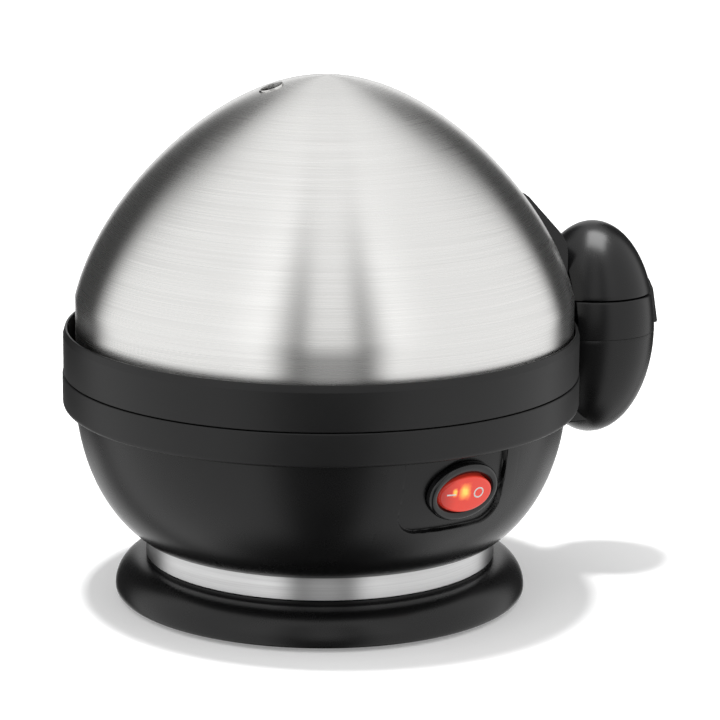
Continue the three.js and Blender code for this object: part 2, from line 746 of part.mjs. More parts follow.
function panSeal() {
  const low = SHELF_TOP + GAP;
  const outline = [[79.6, low], [82.6, low], [82.6, low + 0.9], [79.6, low + 0.9]];
  return mesh('pan_seal', revolve(outline, INNER_SEGMENTS), 'silicone');
}

function heatPlate() {
  return mesh('heat_plate', rod(45, PLATE_BOTTOM, PLATE_TOP, INNER_SEGMENTS), 'aluminium');
}

// A nearly closed ring whose two ends turn down to their terminals.
function heatingElement() {
  const [end, start] = ELEMENT_END_AZIMUTHS;
  const turns = 16;
  const bends = Array.from({ length: turns + 1 }, (_, i) => (
    polar(start + ((360 - start + end) * i) / turns, ELEMENT_R, ELEMENT_Z)
  ));
  const knee = ELEMENT_Z - 6;
  const leg = (azimuth) => [ELEMENT_END_Z, knee].map((z) => polar(azimuth, ELEMENT_R, z));
  const path = [...leg(start - 5), ...bends, ...leg(end + 5).reverse()];
  const geometry = sweep(path, ELEMENT_TUBE_R, 48, 8);
  return mesh('heating_element', geometry, 'polishedSteel');
}

function elementTerminals() {
  return ELEMENT_END_AZIMUTHS.map((azimuth, i) => {
    const away = i === 0 ? 4 : -4;
    const top = ELEMENT_END_Z - 1;
    const outline = [[0, top - 9], [1.2, top - 9], [1.2, top - 4], [2.6, top - 4], [2.6, top], [0, top]];
    const geometry = revolve(outline, ROD_SEGMENTS).translate(...polar(azimuth + away, ELEMENT_R, 0));
    return mesh(`element_terminal_${i + 1}`, geometry, 'ceramic');
  });
}

function thermostat() {
  const top = PLATE_BOTTOM - GAP;
  const outline = [[0, top - 9], [7, top - 9], [7, top - 3], [9, top - 3], [9, top], [0, top]];
  return mesh('thermostat', revolve(outline, 24), 'ceramic');
}

function thermalFuse() {
  const outline = [[0, -11], [0.8, -11], [0.8, -7], [2.2, -6], [2.2, 6], [0.8, 7], [0.8, 11], [0, 11]];
  const geometry = revolve(outline, ROD_SEGMENTS)
    .rotateX(Math.PI / 2)
    .translate(20, 0, PLATE_BOTTOM - GAP - 2.6);
  return mesh('thermal_fuse', geometry, 'aluminium');
}

function plateNuts() {
  return NUT_AZIMUTHS.map((azimuth, i) => {
    const top = PLATE_BOTTOM - GAP;
    const geometry = rod(3.8, top - 3, top, 6).translate(...polar(azimuth, 22, 0));
    return mesh(`plate_nut_${i + 1}`, geometry, 'brass');
  });
}

// ---------------------------------------------------------------------------- wiring

const BLOCK = new THREE.Vector3(0, 30, COVER_TOP + GAP + 5);
const LEAD_R = 1.2;

function terminalBlock() {
  return mesh('terminal_block', box(26, 14, 10, BLOCK.x, BLOCK.y, BLOCK.z), 'ceramic');
}

function lead(name, points, finish) {
  return mesh(name, sweep(points, LEAD_R, 4 * points.length, 6), finish);
}

// A point behind the switch panel, in the cooker's frame.
function behindPanel(x, y, z) {
  const probe = new THREE.BufferGeometry();
  probe.setAttribute('position', new THREE.Float32BufferAttribute([x, y, z], 3));
  onPanel(probe);
  return new THREE.Vector3().fromBufferAttribute(probe.attributes.position, 0);
}

function leads() {
  const blockTop = BLOCK.z + 5 + GAP + LEAD_R;
  const thermostatLow = PLATE_BOTTOM - 11.2;
  const terminals = ELEMENT_END_AZIMUTHS.map((azimuth, i) => (
    polar(azimuth + (i === 0 ? 4 : -4), ELEMENT_R, ELEMENT_END_Z - 10 - GAP - LEAD_R)
  ));
  const live = [
    new THREE.Vector3(8, 30, blockTop),
    new THREE.Vector3(12, 20, 26),
    new THREE.Vector3(20, -10, 34),
    behindPanel(6, -9, -33),
    behindPanel(6, 0, -27.7),
  ];
  const switched = [
    behindPanel(-6, 0, -27.7),
    behindPanel(-7, -9, -33),
    new THREE.Vector3(-6, -22, 42),
    new THREE.Vector3(-4, -8, 44),
    new THREE.Vector3(-4, -2, thermostatLow),
  ];
  const neutral = [
    new THREE.Vector3(-8, 30, blockTop),
    new THREE.Vector3(-10, 33, 26),
    terminals[1],
  ];
  const bridge = [
    new THREE.Vector3(4, 2, thermostatLow),
    new THREE.Vector3(8, 14, 42),
    new THREE.Vector3(10, 30, 34),
    terminals[0],
  ];
  return [
    lead('lead_live', live, 'leadRed'),
    lead('lead_switched', switched, 'leadRed'),
    lead('lead_neutral', neutral, 'leadBlue'),
    lead('lead_heater', bridge, 'leadRed'),
  ];
}

// ---------------------------------------------------------------------------- switch

const BEZEL_FACE = 0.8;
const BODY_DEPTH = -18;

function switchHousing() {
  const flange = solid(ovalPlate(BEZEL_WIDTH, BEZEL_HEIGHT, -PANEL_DEPTH + GAP, BEZEL_FACE));
  const body = solid(ovalPlate(SWITCH_WIDTH, SWITCH_HEIGHT, BODY_DEPTH, 0));
  const well = solid(ovalPlate(
    SWITCH_WIDTH - 2 * WELL_WALL, SWITCH_HEIGHT - 2 * WELL_WALL, BODY_DEPTH + 2, BEZEL_FACE + THROUGH,
  ));
  return mesh('switch_housing', onPanel(skinOf(cut(join(flange, body), well))), 'glossBlack');
}

// The lit rocker, tipped towards its lit side; it rocks about the panel's up axis.
function switchRocker() {
  const front = 2.3;
  const cap = solid(ovalPlate(ROCKER_WIDTH, ROCKER_HEIGHT, -7, front));
  const crownR = 60;
  const crown = solid(rod(crownR, -ROCKER_HEIGHT, ROCKER_HEIGHT, 120)
    .rotateX(Math.PI / 2)
    .translate(0, 0, front - crownR));
  const hollow = solid(ovalPlate(ROCKER_WIDTH - 4, ROCKER_HEIGHT - 4, -8, -2));
  const rocker = cut(cap.intersect(crown), hollow);
  const geometry = skinOf(rocker)
    .translate(0, 0, -ROCKER_PIVOT)
    .rotateY(-ROCKER_TILT * DEG)
    .translate(0, 0, ROCKER_PIVOT);
  return mesh('switch_rocker', onPanel(geometry), 'redLens');
}

function neonLamp() {
  const outline = [[0, -4], [1.4, -3.6], [1.9, -3], [1.9, 3], [1.2, 4], [0, 4.6]];
  const geometry = revolve(outline, ROD_SEGMENTS).rotateX(Math.PI / 2).translate(0, 0, -11.5);
  return mesh('neon_lamp', onPanel(geometry), 'lampGlass');
}

function switchTerminals() {
  return [-6, 0, 6].map((x, i) => {
    const blade = box(0.9, 4.8, 8, x, 0, BODY_DEPTH - GAP - 4);
    return mesh(`switch_terminal_${i + 1}`, onPanel(blade), 'brass');
  });
}

// -------------------------------------------------------------------------- egg tray

const GRIP_R = 73.5;
const GRIP_DEPTH = 1.8;
const GRIP_AZIMUTHS = [0, 180];

function eggTray() {
  const plate = new THREE.Shape();
  plate.absarc(0, 0, TRAY_R - 0.4, 0, 2 * Math.PI);
  const centres = Array.from({ length: OUTER_EGGS }, (_, i) => (
    polar((360 / OUTER_EGGS) * (i + 0.5), EGG_PITCH_R, 0)
  ));
  for (const centre of [new THREE.Vector3(), ...centres]) {
    const hole = new THREE.Path();
    hole.absarc(centre.x, centre.y, EGG_HOLE_R, 0, 2 * Math.PI, true);
    plate.holes.push(hole);
  }
  const sheet = solid(new THREE.ExtrudeGeometry(plate, {
    depth: TRAY_SHEET,
    bevelEnabled: false,
    curveSegments: 13,
  }).translate(0, 0, TRAY_BOTTOM));
  const wallR = TRAY_R - TRAY_SHEET;
  const wall = solid(revolve([
    [wallR, TRAY_BOTTOM], [TRAY_R, TRAY_BOTTOM], [TRAY_R, TRAY_WALL_TOP], [wallR, TRAY_WALL_TOP],
  ]));
  return mesh('egg_tray', skinOf(join(sheet, wall, ...GRIP_AZIMUTHS.map(trayGrip))), 'glossBlack');
}

// An upright finger loop at the tray's edge.
function trayGrip(azimuth) {
  const [outerR, innerR, neck] = [9, 6, 5];
  const loop = new THREE.Shape();
  loop.absarc(0, neck, outerR, 0, Math.PI);
  loop.lineTo(-outerR, 0);
  loop.lineTo(outerR, 0);
  const opening = new THREE.Path();
  opening.absarc(0, neck, innerR, 0, Math.PI);
  opening.lineTo(-innerR, neck / 2);
  opening.lineTo(innerR, neck / 2);
  loop.holes.push(opening);
  return solid(new THREE.ExtrudeGeometry(loop, { depth: GRIP_DEPTH, bevelEnabled: false, curveSegments: 8 })
    .rotateX(Math.PI / 2)
    .translate(0, -GRIP_R, TRAY_BOTTOM + TRAY_SHEET - 0.5)
    .rotateZ(azimuth * DEG));
}

// -------------------------------------------------------------------------- assembly

const lid = new THREE.Group();
lid.add(domeShell(), lidRing(), hingeShield(), handleCap(), ...shieldScrews());

const handle = new THREE.Group();
handle.add(hingeCollar(), handleBody(), hingePin(), ...bodyScrews());

const base = new THREE.Group();
base.add(
  baseRim(), bowlHousing(), trimRing(), footSkirt(), bottomCover(),
  ...housingScrews(), ...coverScrews(), ...rubberFeet(), cordGland(), cordClamp(),
);

const heater = new THREE.Group();
heater.add(
  waterPan(), panSeal(), heatPlate(), heatingElement(), ...elementTerminals(),
  thermostat(), thermalFuse(), ...plateNuts(), terminalBlock(), ...leads(),
);

const rockerSwitch = new THREE.Group();
rockerSwitch.add(switchHousing(), switchRocker(), neonLamp(), ...switchTerminals());

const cooker = new THREE.Group();
cooker.position.x = AXIS_X;
cooker.add(lid, handle, base, heater, rockerSwitch, eggTray());

export default cooker;
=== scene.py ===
"""The egg cooker's visible surfaces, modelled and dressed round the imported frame."""

import json
import logging
import math
from dataclasses import dataclass
from enum import Enum

import bpy
from mathutils import Matrix, Vector


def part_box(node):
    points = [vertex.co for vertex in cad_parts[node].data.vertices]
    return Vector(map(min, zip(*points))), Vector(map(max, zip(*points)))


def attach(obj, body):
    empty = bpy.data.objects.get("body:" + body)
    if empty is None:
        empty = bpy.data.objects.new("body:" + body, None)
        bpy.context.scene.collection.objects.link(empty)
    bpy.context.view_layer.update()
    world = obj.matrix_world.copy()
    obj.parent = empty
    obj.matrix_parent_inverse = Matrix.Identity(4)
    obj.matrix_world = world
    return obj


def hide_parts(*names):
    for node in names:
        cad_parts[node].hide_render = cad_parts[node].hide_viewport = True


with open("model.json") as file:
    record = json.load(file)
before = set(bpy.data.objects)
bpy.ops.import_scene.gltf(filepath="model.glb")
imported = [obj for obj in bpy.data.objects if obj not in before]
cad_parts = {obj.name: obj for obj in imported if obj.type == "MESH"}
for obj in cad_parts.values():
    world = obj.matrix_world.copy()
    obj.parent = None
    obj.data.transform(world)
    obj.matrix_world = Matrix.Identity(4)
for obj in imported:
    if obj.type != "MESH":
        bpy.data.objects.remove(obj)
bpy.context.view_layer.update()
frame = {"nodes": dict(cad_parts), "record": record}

MM = 0.001
WRAP = "wrap"  # the UV map that runs round an axis, on brushed pieces
OVAL_STEPS = 96  # facets round an oval
WHITE = (1.0, 1.0, 1.0, 1.0)
LOG = logging.getLogger("egg_cooker")

Object = bpy.types.Object
Material = bpy.types.Material
Node = bpy.types.Node
Socket = bpy.types.NodeSocket
Point = tuple[float, float]
Corner = tuple[float, float, float]
ORIGIN: Corner = (0.0, 0.0, 0.0)


# --------------------------------------------------------------------------- bench tools


def deselect() -> None:
    """Clears the selection and leaves edit mode."""
    if bpy.context.object and bpy.context.object.mode != "OBJECT":
        bpy.ops.object.mode_set(mode="OBJECT")
    bpy.ops.object.select_all(action="DESELECT")


def pick(piece: Object) -> None:
    """Makes a piece the only selected and the active one.

    Args:
        piece: The object to work on.
    """
    deselect()
    piece.select_set(True)
    bpy.context.view_layer.objects.active = piece


def start(name: str) -> Object:
    """Names the primitive just added and puts its place into its mesh.

    Args:
        name: The piece's name.

    Returns:
        The new object, at the origin, unturned and unscaled.
    """
    piece = bpy.context.object
    piece.name = name
    piece.data.name = name
    bpy.ops.object.transform_apply(location=True, rotation=True, scale=True)
    return piece


def apply_modifier(piece: Object, kind: str, **settings: object) -> None:
    """Adds a modifier, sets it and applies it.

    Args:
        piece: The object to change.
        kind: The modifier's type.
        **settings: Values for the modifier's own properties.
    """
    pick(piece)
    modifier = piece.modifiers.new(kind.lower(), kind)
    for key, value in settings.items():
        setattr(modifier, key, value)
    bpy.ops.object.modifier_apply(modifier=modifier.name)


class Merging(Enum):
    """How a closed shape is worked into a piece, under the modifier's names."""

    CUT = "DIFFERENCE"
    JOIN = "UNION"


def merge_in(piece: Object, merging: Merging, others: tuple[Object, ...]) -> Object:
    """Works closed shapes into a piece and throws them away.

    Args:
        piece: The object that changes.
        merging: How they are worked in.
        others: The closed objects.

    Returns:
        The same piece.
    """
    for other in others:
        apply_modifier(piece, "BOOLEAN", operation=merging.value, solver="EXACT", object=other)
        bpy.data.objects.remove(other, do_unlink=True)
    return piece


def carve(piece: Object, *cutters: Object) -> Object:
    """Cuts closed shapes out of a piece."""
    return merge_in(piece, Merging.CUT, cutters)


def fuse(piece: Object, *others: Object) -> Object:
    """Joins closed shapes into one skin with a piece."""
    return merge_in(piece, Merging.JOIN, others)


def gather(piece: Object, *others: Object) -> Object:
    """Puts separate shells into one object without cutting them.

    Args:
        piece: The object that takes the others in.
        *others: The objects to add.

    Returns:
        The same piece.
    """
    pick(piece)
    for other in others:
        other.select_set(True)
    bpy.ops.object.join()
    return piece


def soften(piece: Object, width: float, segments: int = 3, angle: float = 35.0) -> Object:
    """Rounds the sharp edges of a piece.

    Args:
        piece: The object to round.
        width: The rounding's width in metres.
        segments: Facets across each rounding.
        angle: The least angle of an edge that is rounded, in degrees.

    Returns:
        The same piece.
    """
    apply_modifier(
        piece, "BEVEL", width=width, segments=segments, limit_method="ANGLE",
        angle_limit=math.radians(angle), use_clamp_overlap=True, harden_normals=False,
    )
    return piece


def smooth(piece: Object, angle: float = 38.0) -> Object:
    """Shades a piece smooth, but for its sharp edges.

    Args:
        piece: The object to shade.
        angle: The angle above which an edge stays sharp, in degrees.

    Returns:
        The same piece.
    """
    pick(piece)
    bpy.ops.object.shade_smooth_by_angle(angle=math.radians(angle))
    return piece


def tidy_skin(piece: Object, merge: float = 0.005 * MM) -> Object:
    """Merges doubled points and turns every face outwards.

    Args:
        piece: A closed shape.
        merge: Points closer than this become one.

    Returns:
        The same piece.
    """
    pick(piece)
    bpy.ops.object.mode_set(mode="EDIT")
    bpy.ops.mesh.select_all(action="SELECT")
    bpy.ops.mesh.remove_doubles(threshold=merge)
    bpy.ops.mesh.dissolve_degenerate(threshold=merge / 5)
    bpy.ops.mesh.normals_make_consistent(inside=False)
    bpy.ops.object.mode_set(mode="OBJECT")
    return piece


def place(piece: Object, matrix: Matrix) -> Object:
    """Moves a piece's mesh, leaving the object itself at the origin.

    Args:
        piece: The object whose mesh moves.
        matrix: Where it goes.

    Returns:
        The same piece.
    """
    piece.data.transform(matrix)
    piece.data.update()
    return piece


def copy_of(piece: Object, name: str, matrix: Matrix) -> Object:
    """Copies a piece with a mesh of its own.

    Args:
        piece: The piece to copy.
        name: The copy's name.
        matrix: Where the copy goes from the first one's place.

    Returns:
        The new object.
    """
    deselect()
    twin = piece.copy()
    twin.data = piece.data.copy()
    twin.name = name
    twin.data.name = name
    bpy.context.collection.objects.link(twin)
    return place(twin, matrix)


def rounded(corners: list[Corner], steps: int = 4) -> list[Point]:
    """Turns an outline's corners into an outline with rounded corners.

    Args:
        corners: Radius, height and rounding of each corner, round a closed outline.
        steps: Facets across each rounding.

    Returns:
        The outline's points, the first one not repeated.
    """
    outline: list[Point] = []
    for i, (radius, height, round_by) in enumerate(corners):
        here = Vector((radius, height))
        if round_by <= 0:
            outline.append((radius, height))
            continue
        before = (Vector(corners[i - 1][:2]) - here)
        after = (Vector(corners[(i + 1) % len(corners)][:2]) - here)
        half = before.angle(after) / 2
        reach = min(round_by / math.tan(half), 0.48 * before.length, 0.48 * after.length)
        first = here + before.normalized() * reach
        last = here + after.normalized() * reach
        for step in range(steps + 1):
            t = step / steps
            point = first * (1 - t) ** 2 + here * (2 * t * (1 - t)) + last * t ** 2
            outline.append((point.x, point.y))
    return outline


def trace(name: str, origin: Point, outline: list[Point]) -> Object:
    """Draws an upright wire by extruding a single point, and leaves it selected in edit mode.

    Args:
        name: The wire's name.
        origin: What is added to the outline's X, and the wire's place along Y.
        outline: X and height of each point.

    Returns:
        The wire.
    """
    deselect()
    x, z = outline[0]
    bpy.ops.mesh.primitive_plane_add(size=MM, location=(origin[0] + x, origin[1], z))
    wire = start(name)
    bpy.ops.object.mode_set(mode="EDIT")
    bpy.ops.mesh.select_all(action="SELECT")
    bpy.ops.mesh.merge(type="CENTER")
    for (x0, z0), (x1, z1) in zip(outline, outline[1:]):
        move = {"value": (x1 - x0, 0.0, z1 - z0)}
        bpy.ops.mesh.extrude_vertices_move(TRANSFORM_OT_translate=move)
    bpy.ops.mesh.select_all(action="SELECT")
    return wire


@dataclass(frozen=True)
class Lathe:
    """Turns outlines into round pieces about an upright axis.

    Attributes:
        x: The axis's place along X, in metres.
        y: The axis's place along Y, in metres.
    """

    x: float
    y: float = 0.0

    def turn(self, name: str, outline: list[Point], steps: int = 128) -> Object:
        """Turns a closed outline, or one that starts and ends on the axis.

        Args:
            name: The piece's name.
            outline: Radius and height of each point, in metres.
            steps: Facets round the axis.

        Returns:
            The closed, smooth-shaded piece.
        """
        points = list(outline)
        if points[0][0] > 0 or points[-1][0] > 0:
            points.append(points[0])
        piece = trace(name, (self.x, self.y), points)
        bpy.ops.mesh.spin(
            steps=steps, angle=2 * math.pi, center=(self.x, self.y, 0.0), axis=(0.0, 0.0, 1.0)
        )
        bpy.ops.object.mode_set(mode="OBJECT")
        return smooth(tidy_skin(piece))

    def rod(self, name: str, radius: float, low: float, high: float, steps: int = 48) -> Object:
        """An upright round bar, mostly for cutting.

        Args:
            name: The piece's name.
            radius: Its radius.
            low: Its lower end.
            high: Its upper end.
            steps: Facets round it.

        Returns:
            The closed bar.
        """
        deselect()
        bpy.ops.mesh.primitive_cylinder_add(
            vertices=steps, radius=radius, depth=high - low,
            location=(self.x, self.y, (low + high) / 2),
        )
        return start(name)


def block(name: str, low: Vector, high: Vector) -> Object:
    """A box between two corners.

    Args:
        name: The piece's name.
        low: Its lowest corner.
        high: Its highest corner.

    Returns:
        The closed box.
    """
    deselect()
    bpy.ops.mesh.primitive_cube_add(size=1.0, location=(low + high) / 2, scale=high - low)
    return start(name)


def polar(azimuth: float, radius: float, height: float) -> Vector:
    """A point about the Z axis.

    Args:
        azimuth: Degrees from -Y towards +X.
        radius: Distance from the axis.
        height: Height above the floor.

    Returns:
        The point.
    """
    angle = math.radians(azimuth)
    return Vector((radius * math.sin(angle), -radius * math.cos(angle), height))


@dataclass(frozen=True)
class Span:
    """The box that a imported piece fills, seen as a round piece on an upright axis.

    Attributes:
        low: The box's lowest corner.
        high: The box's highest corner.
    """

    low: Vector
    high: Vector

    @classmethod
    def of(cls, node: str) -> "Span":
        """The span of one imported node."""
        return cls(*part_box(node))

    @property
    def middle(self) -> Vector:
        """The box's centre."""
        return (self.low + self.high) / 2

    @property
    def radius(self) -> float:
        """Half of the box's depth, which no handle widens."""
        return (self.high.y - self.low.y) / 2

    @property
    def lathe(self) -> Lathe:
        """A lathe on the piece's own axis."""
        return Lathe(self.middle.x, self.middle.y)


COOKER = Span.of("base_rim")
AXIS = Vector((COOKER.middle.x, COOKER.middle.y, 0.0))


def plate(name: str, outline: list[Point], depth: float) -> Object:
    """Extrudes an outline drawn in the X-Z plane along Y, half of it each way.

    Args:
        name: The piece's name.
        outline: X and height of each point round the closed outline.
        depth: The plate's thickness along Y.

    Returns:
        The closed plate.
    """
    piece = trace(name, (0.0, -depth / 2), outline)
    bpy.ops.mesh.edge_face_add()
    bpy.ops.mesh.extrude_region_move(TRANSFORM_OT_translate={"value": (0.0, depth, 0.0)})
    bpy.ops.object.mode_set(mode="OBJECT")
    return tidy_skin(piece)


def oval(name: str, rings: list[Corner]) -> Object:
    """Stacks ovals into one closed skin about the Z axis.

    Args:
        name: The piece's name.
        rings: Width, height across and place along Z of each oval.

    Returns:
        The closed piece.
    """
    deselect()
    width, height, z = rings[0]
    bpy.ops.mesh.primitive_circle_add(
        vertices=OVAL_STEPS, radius=0.5, location=(0.0, 0.0, z), fill_type="NGON"
    )
    bpy.context.object.scale = (width, height, 1.0)
    piece = start(name)
    bpy.ops.object.mode_set(mode="EDIT")
    bpy.ops.mesh.select_all(action="SELECT")
    for (w0, h0, z0), (w1, h1, z1) in zip(rings, rings[1:]):
        bpy.ops.mesh.extrude_region_move(TRANSFORM_OT_translate={"value": (0.0, 0.0, z1 - z0)})
        bpy.ops.transform.resize(value=(w1 / w0, h1 / h0, 1.0), center_override=(0.0, 0.0, z1))
    bpy.ops.object.mode_set(mode="OBJECT")
    return smooth(tidy_skin(piece))


def eased_rim(width: float, height: float, top: float, bend: float) -> list[Corner]:
    """The ovals that round an upright oval wall over into its face.

    Args:
        width: The wall's width.
        height: The wall's height across.
        top: The face's place along Z.
        bend: The rounding's radius.

    Returns:
        The ovals, from the wall to the face.
    """
    rings = []
    for i in range(9):
        angle = 0.5 * math.pi * i / 8
        draw = 2 * bend * (1 - math.cos(angle))
        rings.append((width - draw, height - draw, top - bend * (1 - math.sin(angle))))
    return rings


# --------------------------------------------------------------------------- finishes


class Recipe:
    """A material's node tree while it is mixed."""

    def __init__(self, name: str) -> None:
        """Starts a material with one principled shader.

        Args:
            name: The material's name.
        """
        self.material: Material = bpy.data.materials.new(name)
        self.material.use_nodes = True
        self.tree = self.material.node_tree
        self.shader: Node = self.tree.nodes["Principled BSDF"]
        self.place: Socket = self.add("ShaderNodeTexCoord").outputs["Object"]

    def add(self, kind: str, **settings: object) -> Node:
        """Adds a node and sets its properties.

        Args:
            kind: The node's type.
            **settings: Values for its own properties.

        Returns:
            The node.
        """
        node = self.tree.nodes.new(kind)
        for key, value in settings.items():
            setattr(node, key, value)
        return node

    def join(self, source: Socket, target: Socket) -> None:
        """Runs a link from one socket to another."""
        self.tree.links.new(source, target)

    def fix(self, **values: object) -> None:
        """Sets constants on the shader's own sockets, with _ for a space in their names."""
        for key, value in values.items():
            self.shader.inputs[key.replace("_", " ")].default_value = value

    def mapped(self, scale: Corner, centre: Corner = ORIGIN, turn: Corner = ORIGIN) -> Socket:
        """Object coordinates, moved to a centre, turned and scaled.

        Args:
            scale: Cycles per metre along each axis.
            centre: The pattern's origin.
            turn: The pattern's turn about each axis, in radians.

        Returns:
            The vector socket.
        """
        mapping = self.add("ShaderNodeMapping", vector_type="TEXTURE")
        mapping.inputs["Location"].default_value = centre
        mapping.inputs["Rotation"].default_value = turn
        self.join(self.place, mapping.inputs["Vector"])
        stretch = self.add("ShaderNodeVectorMath", operation="MULTIPLY")
        stretch.inputs[1].default_value = scale
        self.join(mapping.outputs["Vector"], stretch.inputs[0])
        return stretch.outputs["Vector"]

    def noise(self, vector: Socket, detail: float = 3.0, roughness: float = 0.55) -> Socket:
        """Noise with cells one unit across.

        Args:
            vector: Where it is read.
            detail: Octaves.
            roughness: How much the finer octaves count.

        Returns:
            The value socket.
        """
        node = self.add("ShaderNodeTexNoise")
        node.inputs["Scale"].default_value = 1.0
        node.inputs["Detail"].default_value = detail
        node.inputs["Roughness"].default_value = roughness
        self.join(vector, node.inputs["Vector"])
        return node.outputs["Fac"]

    def span(
        self, value: Socket, low: float, high: float, start: float = 0.3, end: float = 0.7
    ) -> Socket:
        """Maps a value's middle stretch onto a range.

        Args:
            value: The value to map.
            low: What start becomes.
            high: What end becomes.
            start: The lower end of the stretch.
            end: The upper end of the stretch.

        Returns:
            The mapped value.
        """
        node = self.add("ShaderNodeMapRange", clamp=True)
        for socket, number in zip(node.inputs[1:5], (start, end, low, high)):
            socket.default_value = number
        self.join(value, node.inputs["Value"])
        return node.outputs["Result"]

    def blend(self, share: Socket, first: Corner, second: Corner) -> Socket:
        """Mixes two colours by a share.

        Args:
            share: 0 for the first colour and 1 for the second.
            first: The first colour.
            second: The second colour.

        Returns:
            The colour socket.
        """
        node = self.add("ShaderNodeMix", data_type="RGBA")
        node.inputs[6].default_value = (*first, 1.0)
        node.inputs[7].default_value = (*second, 1.0)
        self.join(share, node.inputs[0])
        return node.outputs[2]

    def math(self, operation: str, first: Socket, second: Socket | float) -> Socket:
        """Works two values out into one.

        Args:
            operation: What is done with them.
            first: The first value.
            second: The second value, or a number.

        Returns:
            The result.
        """
        node = self.add("ShaderNodeMath", operation=operation)
        self.join(first, node.inputs[0])
        if isinstance(second, (int, float)):
            node.inputs[1].default_value = second
        else:
            self.join(second, node.inputs[1])
        return node.outputs[0]

    def bump(self, height: Socket, depth: float) -> Socket:
        """Turns a height into a normal.

        Args:
            height: From 0 to 1.
            depth: How far 1 stands over 0, in metres.

        Returns:
            The normal socket.
        """
        node = self.add("ShaderNodeBump")
        node.inputs["Distance"].default_value = depth
        node.inputs["Strength"].default_value = 1.0
        self.join(height, node.inputs["Height"])
        return node.outputs["Normal"]

    def mottle(
        self, cloud: Socket, colours: tuple[Corner, Corner], rough: Point, depth: float
    ) -> None:
        """Lets one noise drive the colour, the roughness and the relief.

        Args:
            cloud: The noise.
            colours: The colours where it is low and where it is high.
            rough: The roughness where it is low and where it is high.
            depth: The relief's depth in metres.
        """
        self.feed("Base Color", self.blend(self.span(cloud, 0.0, 1.0), *colours))
        self.feed("Roughness", self.span(cloud, *rough))
        self.feed("Normal", self.bump(cloud, depth))

    def feed(self, socket: str, source: Socket) -> None:
        """Links a source into one of the shader's sockets."""
        self.join(source, self.shader.inputs[socket])


@dataclass(frozen=True)
class MouldedPlastic:
    """Injection-moulded plastic with a spark-eroded grain.

    Attributes:
        name: The material's name.
        colour: Its colour.
        paler: Its colour where it is slightly rubbed.
        sheen_low: Its least roughness.
        sheen_high: Its greatest roughness.
        grain: Cells of the grain per metre.
        depth: The grain's depth in metres.
        coat: The weight of a thin clear coat, on a glossy piece.
        coat_rough: That coat's roughness.
        specular: How strongly it reflects, 0.5 for a clean gloss.
        cloud: Cells per metre of the slow change in its colour and gloss.
    """

    name: str
    colour: Corner
    paler: Corner
    sheen_low: float
    sheen_high: float
    grain: float = 2600.0
    depth: float = 0.004 * MM
    coat: float = 0.0
    coat_rough: float = 0.12
    specular: float = 0.4
    cloud: float = 45.0

    def mix(self) -> Material:
        """Builds the material."""
        recipe = Recipe(self.name)
        fine = recipe.noise(recipe.mapped((self.grain,) * 3), detail=2.0, roughness=0.6)
        cloud = recipe.noise(recipe.mapped((self.cloud,) * 3), detail=4.0)
        share = recipe.span(cloud, 0.0, 1.0)
        recipe.feed("Base Color", recipe.blend(share, self.colour, self.paler))
        patch = recipe.math("MULTIPLY_ADD", fine, 0.35)
        recipe.join(cloud, patch.node.inputs[2])
        recipe.feed("Roughness", recipe.span(patch, self.sheen_low, self.sheen_high, 0.4, 0.95))
        recipe.feed("Normal", recipe.bump(fine, self.depth))
        recipe.fix(IOR=1.5, Specular_IOR_Level=self.specular)
        recipe.fix(Coat_Weight=self.coat, Coat_Roughness=self.coat_rough)
        return recipe.material


@dataclass(frozen=True)
class BrushedSteel:
    """Stainless sheet brushed round an upright axis, read from a UV map.

    Attributes:
        name: The material's name.
        light: The colour of the bright strokes.
        dark: The colour of the dark strokes.
        low: The least roughness.
        high: The greatest roughness.
        strokes: Strokes per metre across the brushing.
        length: Strokes round one radian.
        depth: The strokes' depth in metres.
        anisotropy: How far highlights are drawn out across the strokes.
        contrast: The stretch of the strokes' noise that colour and roughness follow.
    """

    name: str
    light: Corner = (0.86, 0.855, 0.84)
    dark: Corner = (0.8, 0.795, 0.78)
    low: float = 0.25
    high: float = 0.31
    strokes: float = 2600.0
    length: float = 0.9
    depth: float = 0.0005 * MM
    anisotropy: float = 0.95
    contrast: Point = (0.36, 0.64)

    def mix(self) -> Material:
        """Builds the material."""
        recipe = Recipe(self.name)
        uv = recipe.add("ShaderNodeUVMap", uv_map=WRAP)
        split = recipe.add("ShaderNodeSeparateXYZ")
        recipe.join(uv.outputs["UV"], split.inputs["Vector"])
        angle = recipe.math("MULTIPLY", split.outputs["X"], 2 * math.pi)

        def stroke_field(strokes: float, length: float, detail: float) -> Socket:
            """Noise drawn out round the axis, with no seam."""
            across = recipe.math("MULTIPLY", split.outputs["Y"], strokes)
            ring = recipe.add("ShaderNodeCombineXYZ")
            for axis, operation in enumerate(("COSINE", "SINE")):
                turn = recipe.math(operation, angle, 0.0)
                recipe.join(recipe.math("MULTIPLY", turn, length), ring.inputs[axis])
            recipe.join(across, ring.inputs[2])
            return recipe.noise(ring.outputs["Vector"], detail=detail, roughness=0.7)

        fine = stroke_field(self.strokes, self.length, 3.0)
        broad = stroke_field(self.strokes / 5, self.length * 0.5, 3.0)
        parts = [recipe.math("MULTIPLY", field, share) for field, share in ((fine, 0.8), (broad, 0.2))]
        both = recipe.math("ADD", *parts)
        share = recipe.span(both, 0.0, 1.0, *self.contrast)
        recipe.feed("Base Color", recipe.blend(share, self.dark, self.light))
        recipe.feed("Roughness", recipe.span(both, self.high, self.low, *self.contrast))
        recipe.feed("Normal", recipe.bump(fine, self.depth))
        tangent = recipe.add("ShaderNodeTangent", direction_type="UV_MAP", uv_map=WRAP)
        recipe.feed("Tangent", tangent.outputs["Tangent"])
        recipe.fix(Metallic=1.0, Anisotropic=self.anisotropy, Anisotropic_Rotation=0.25)
        return recipe.material


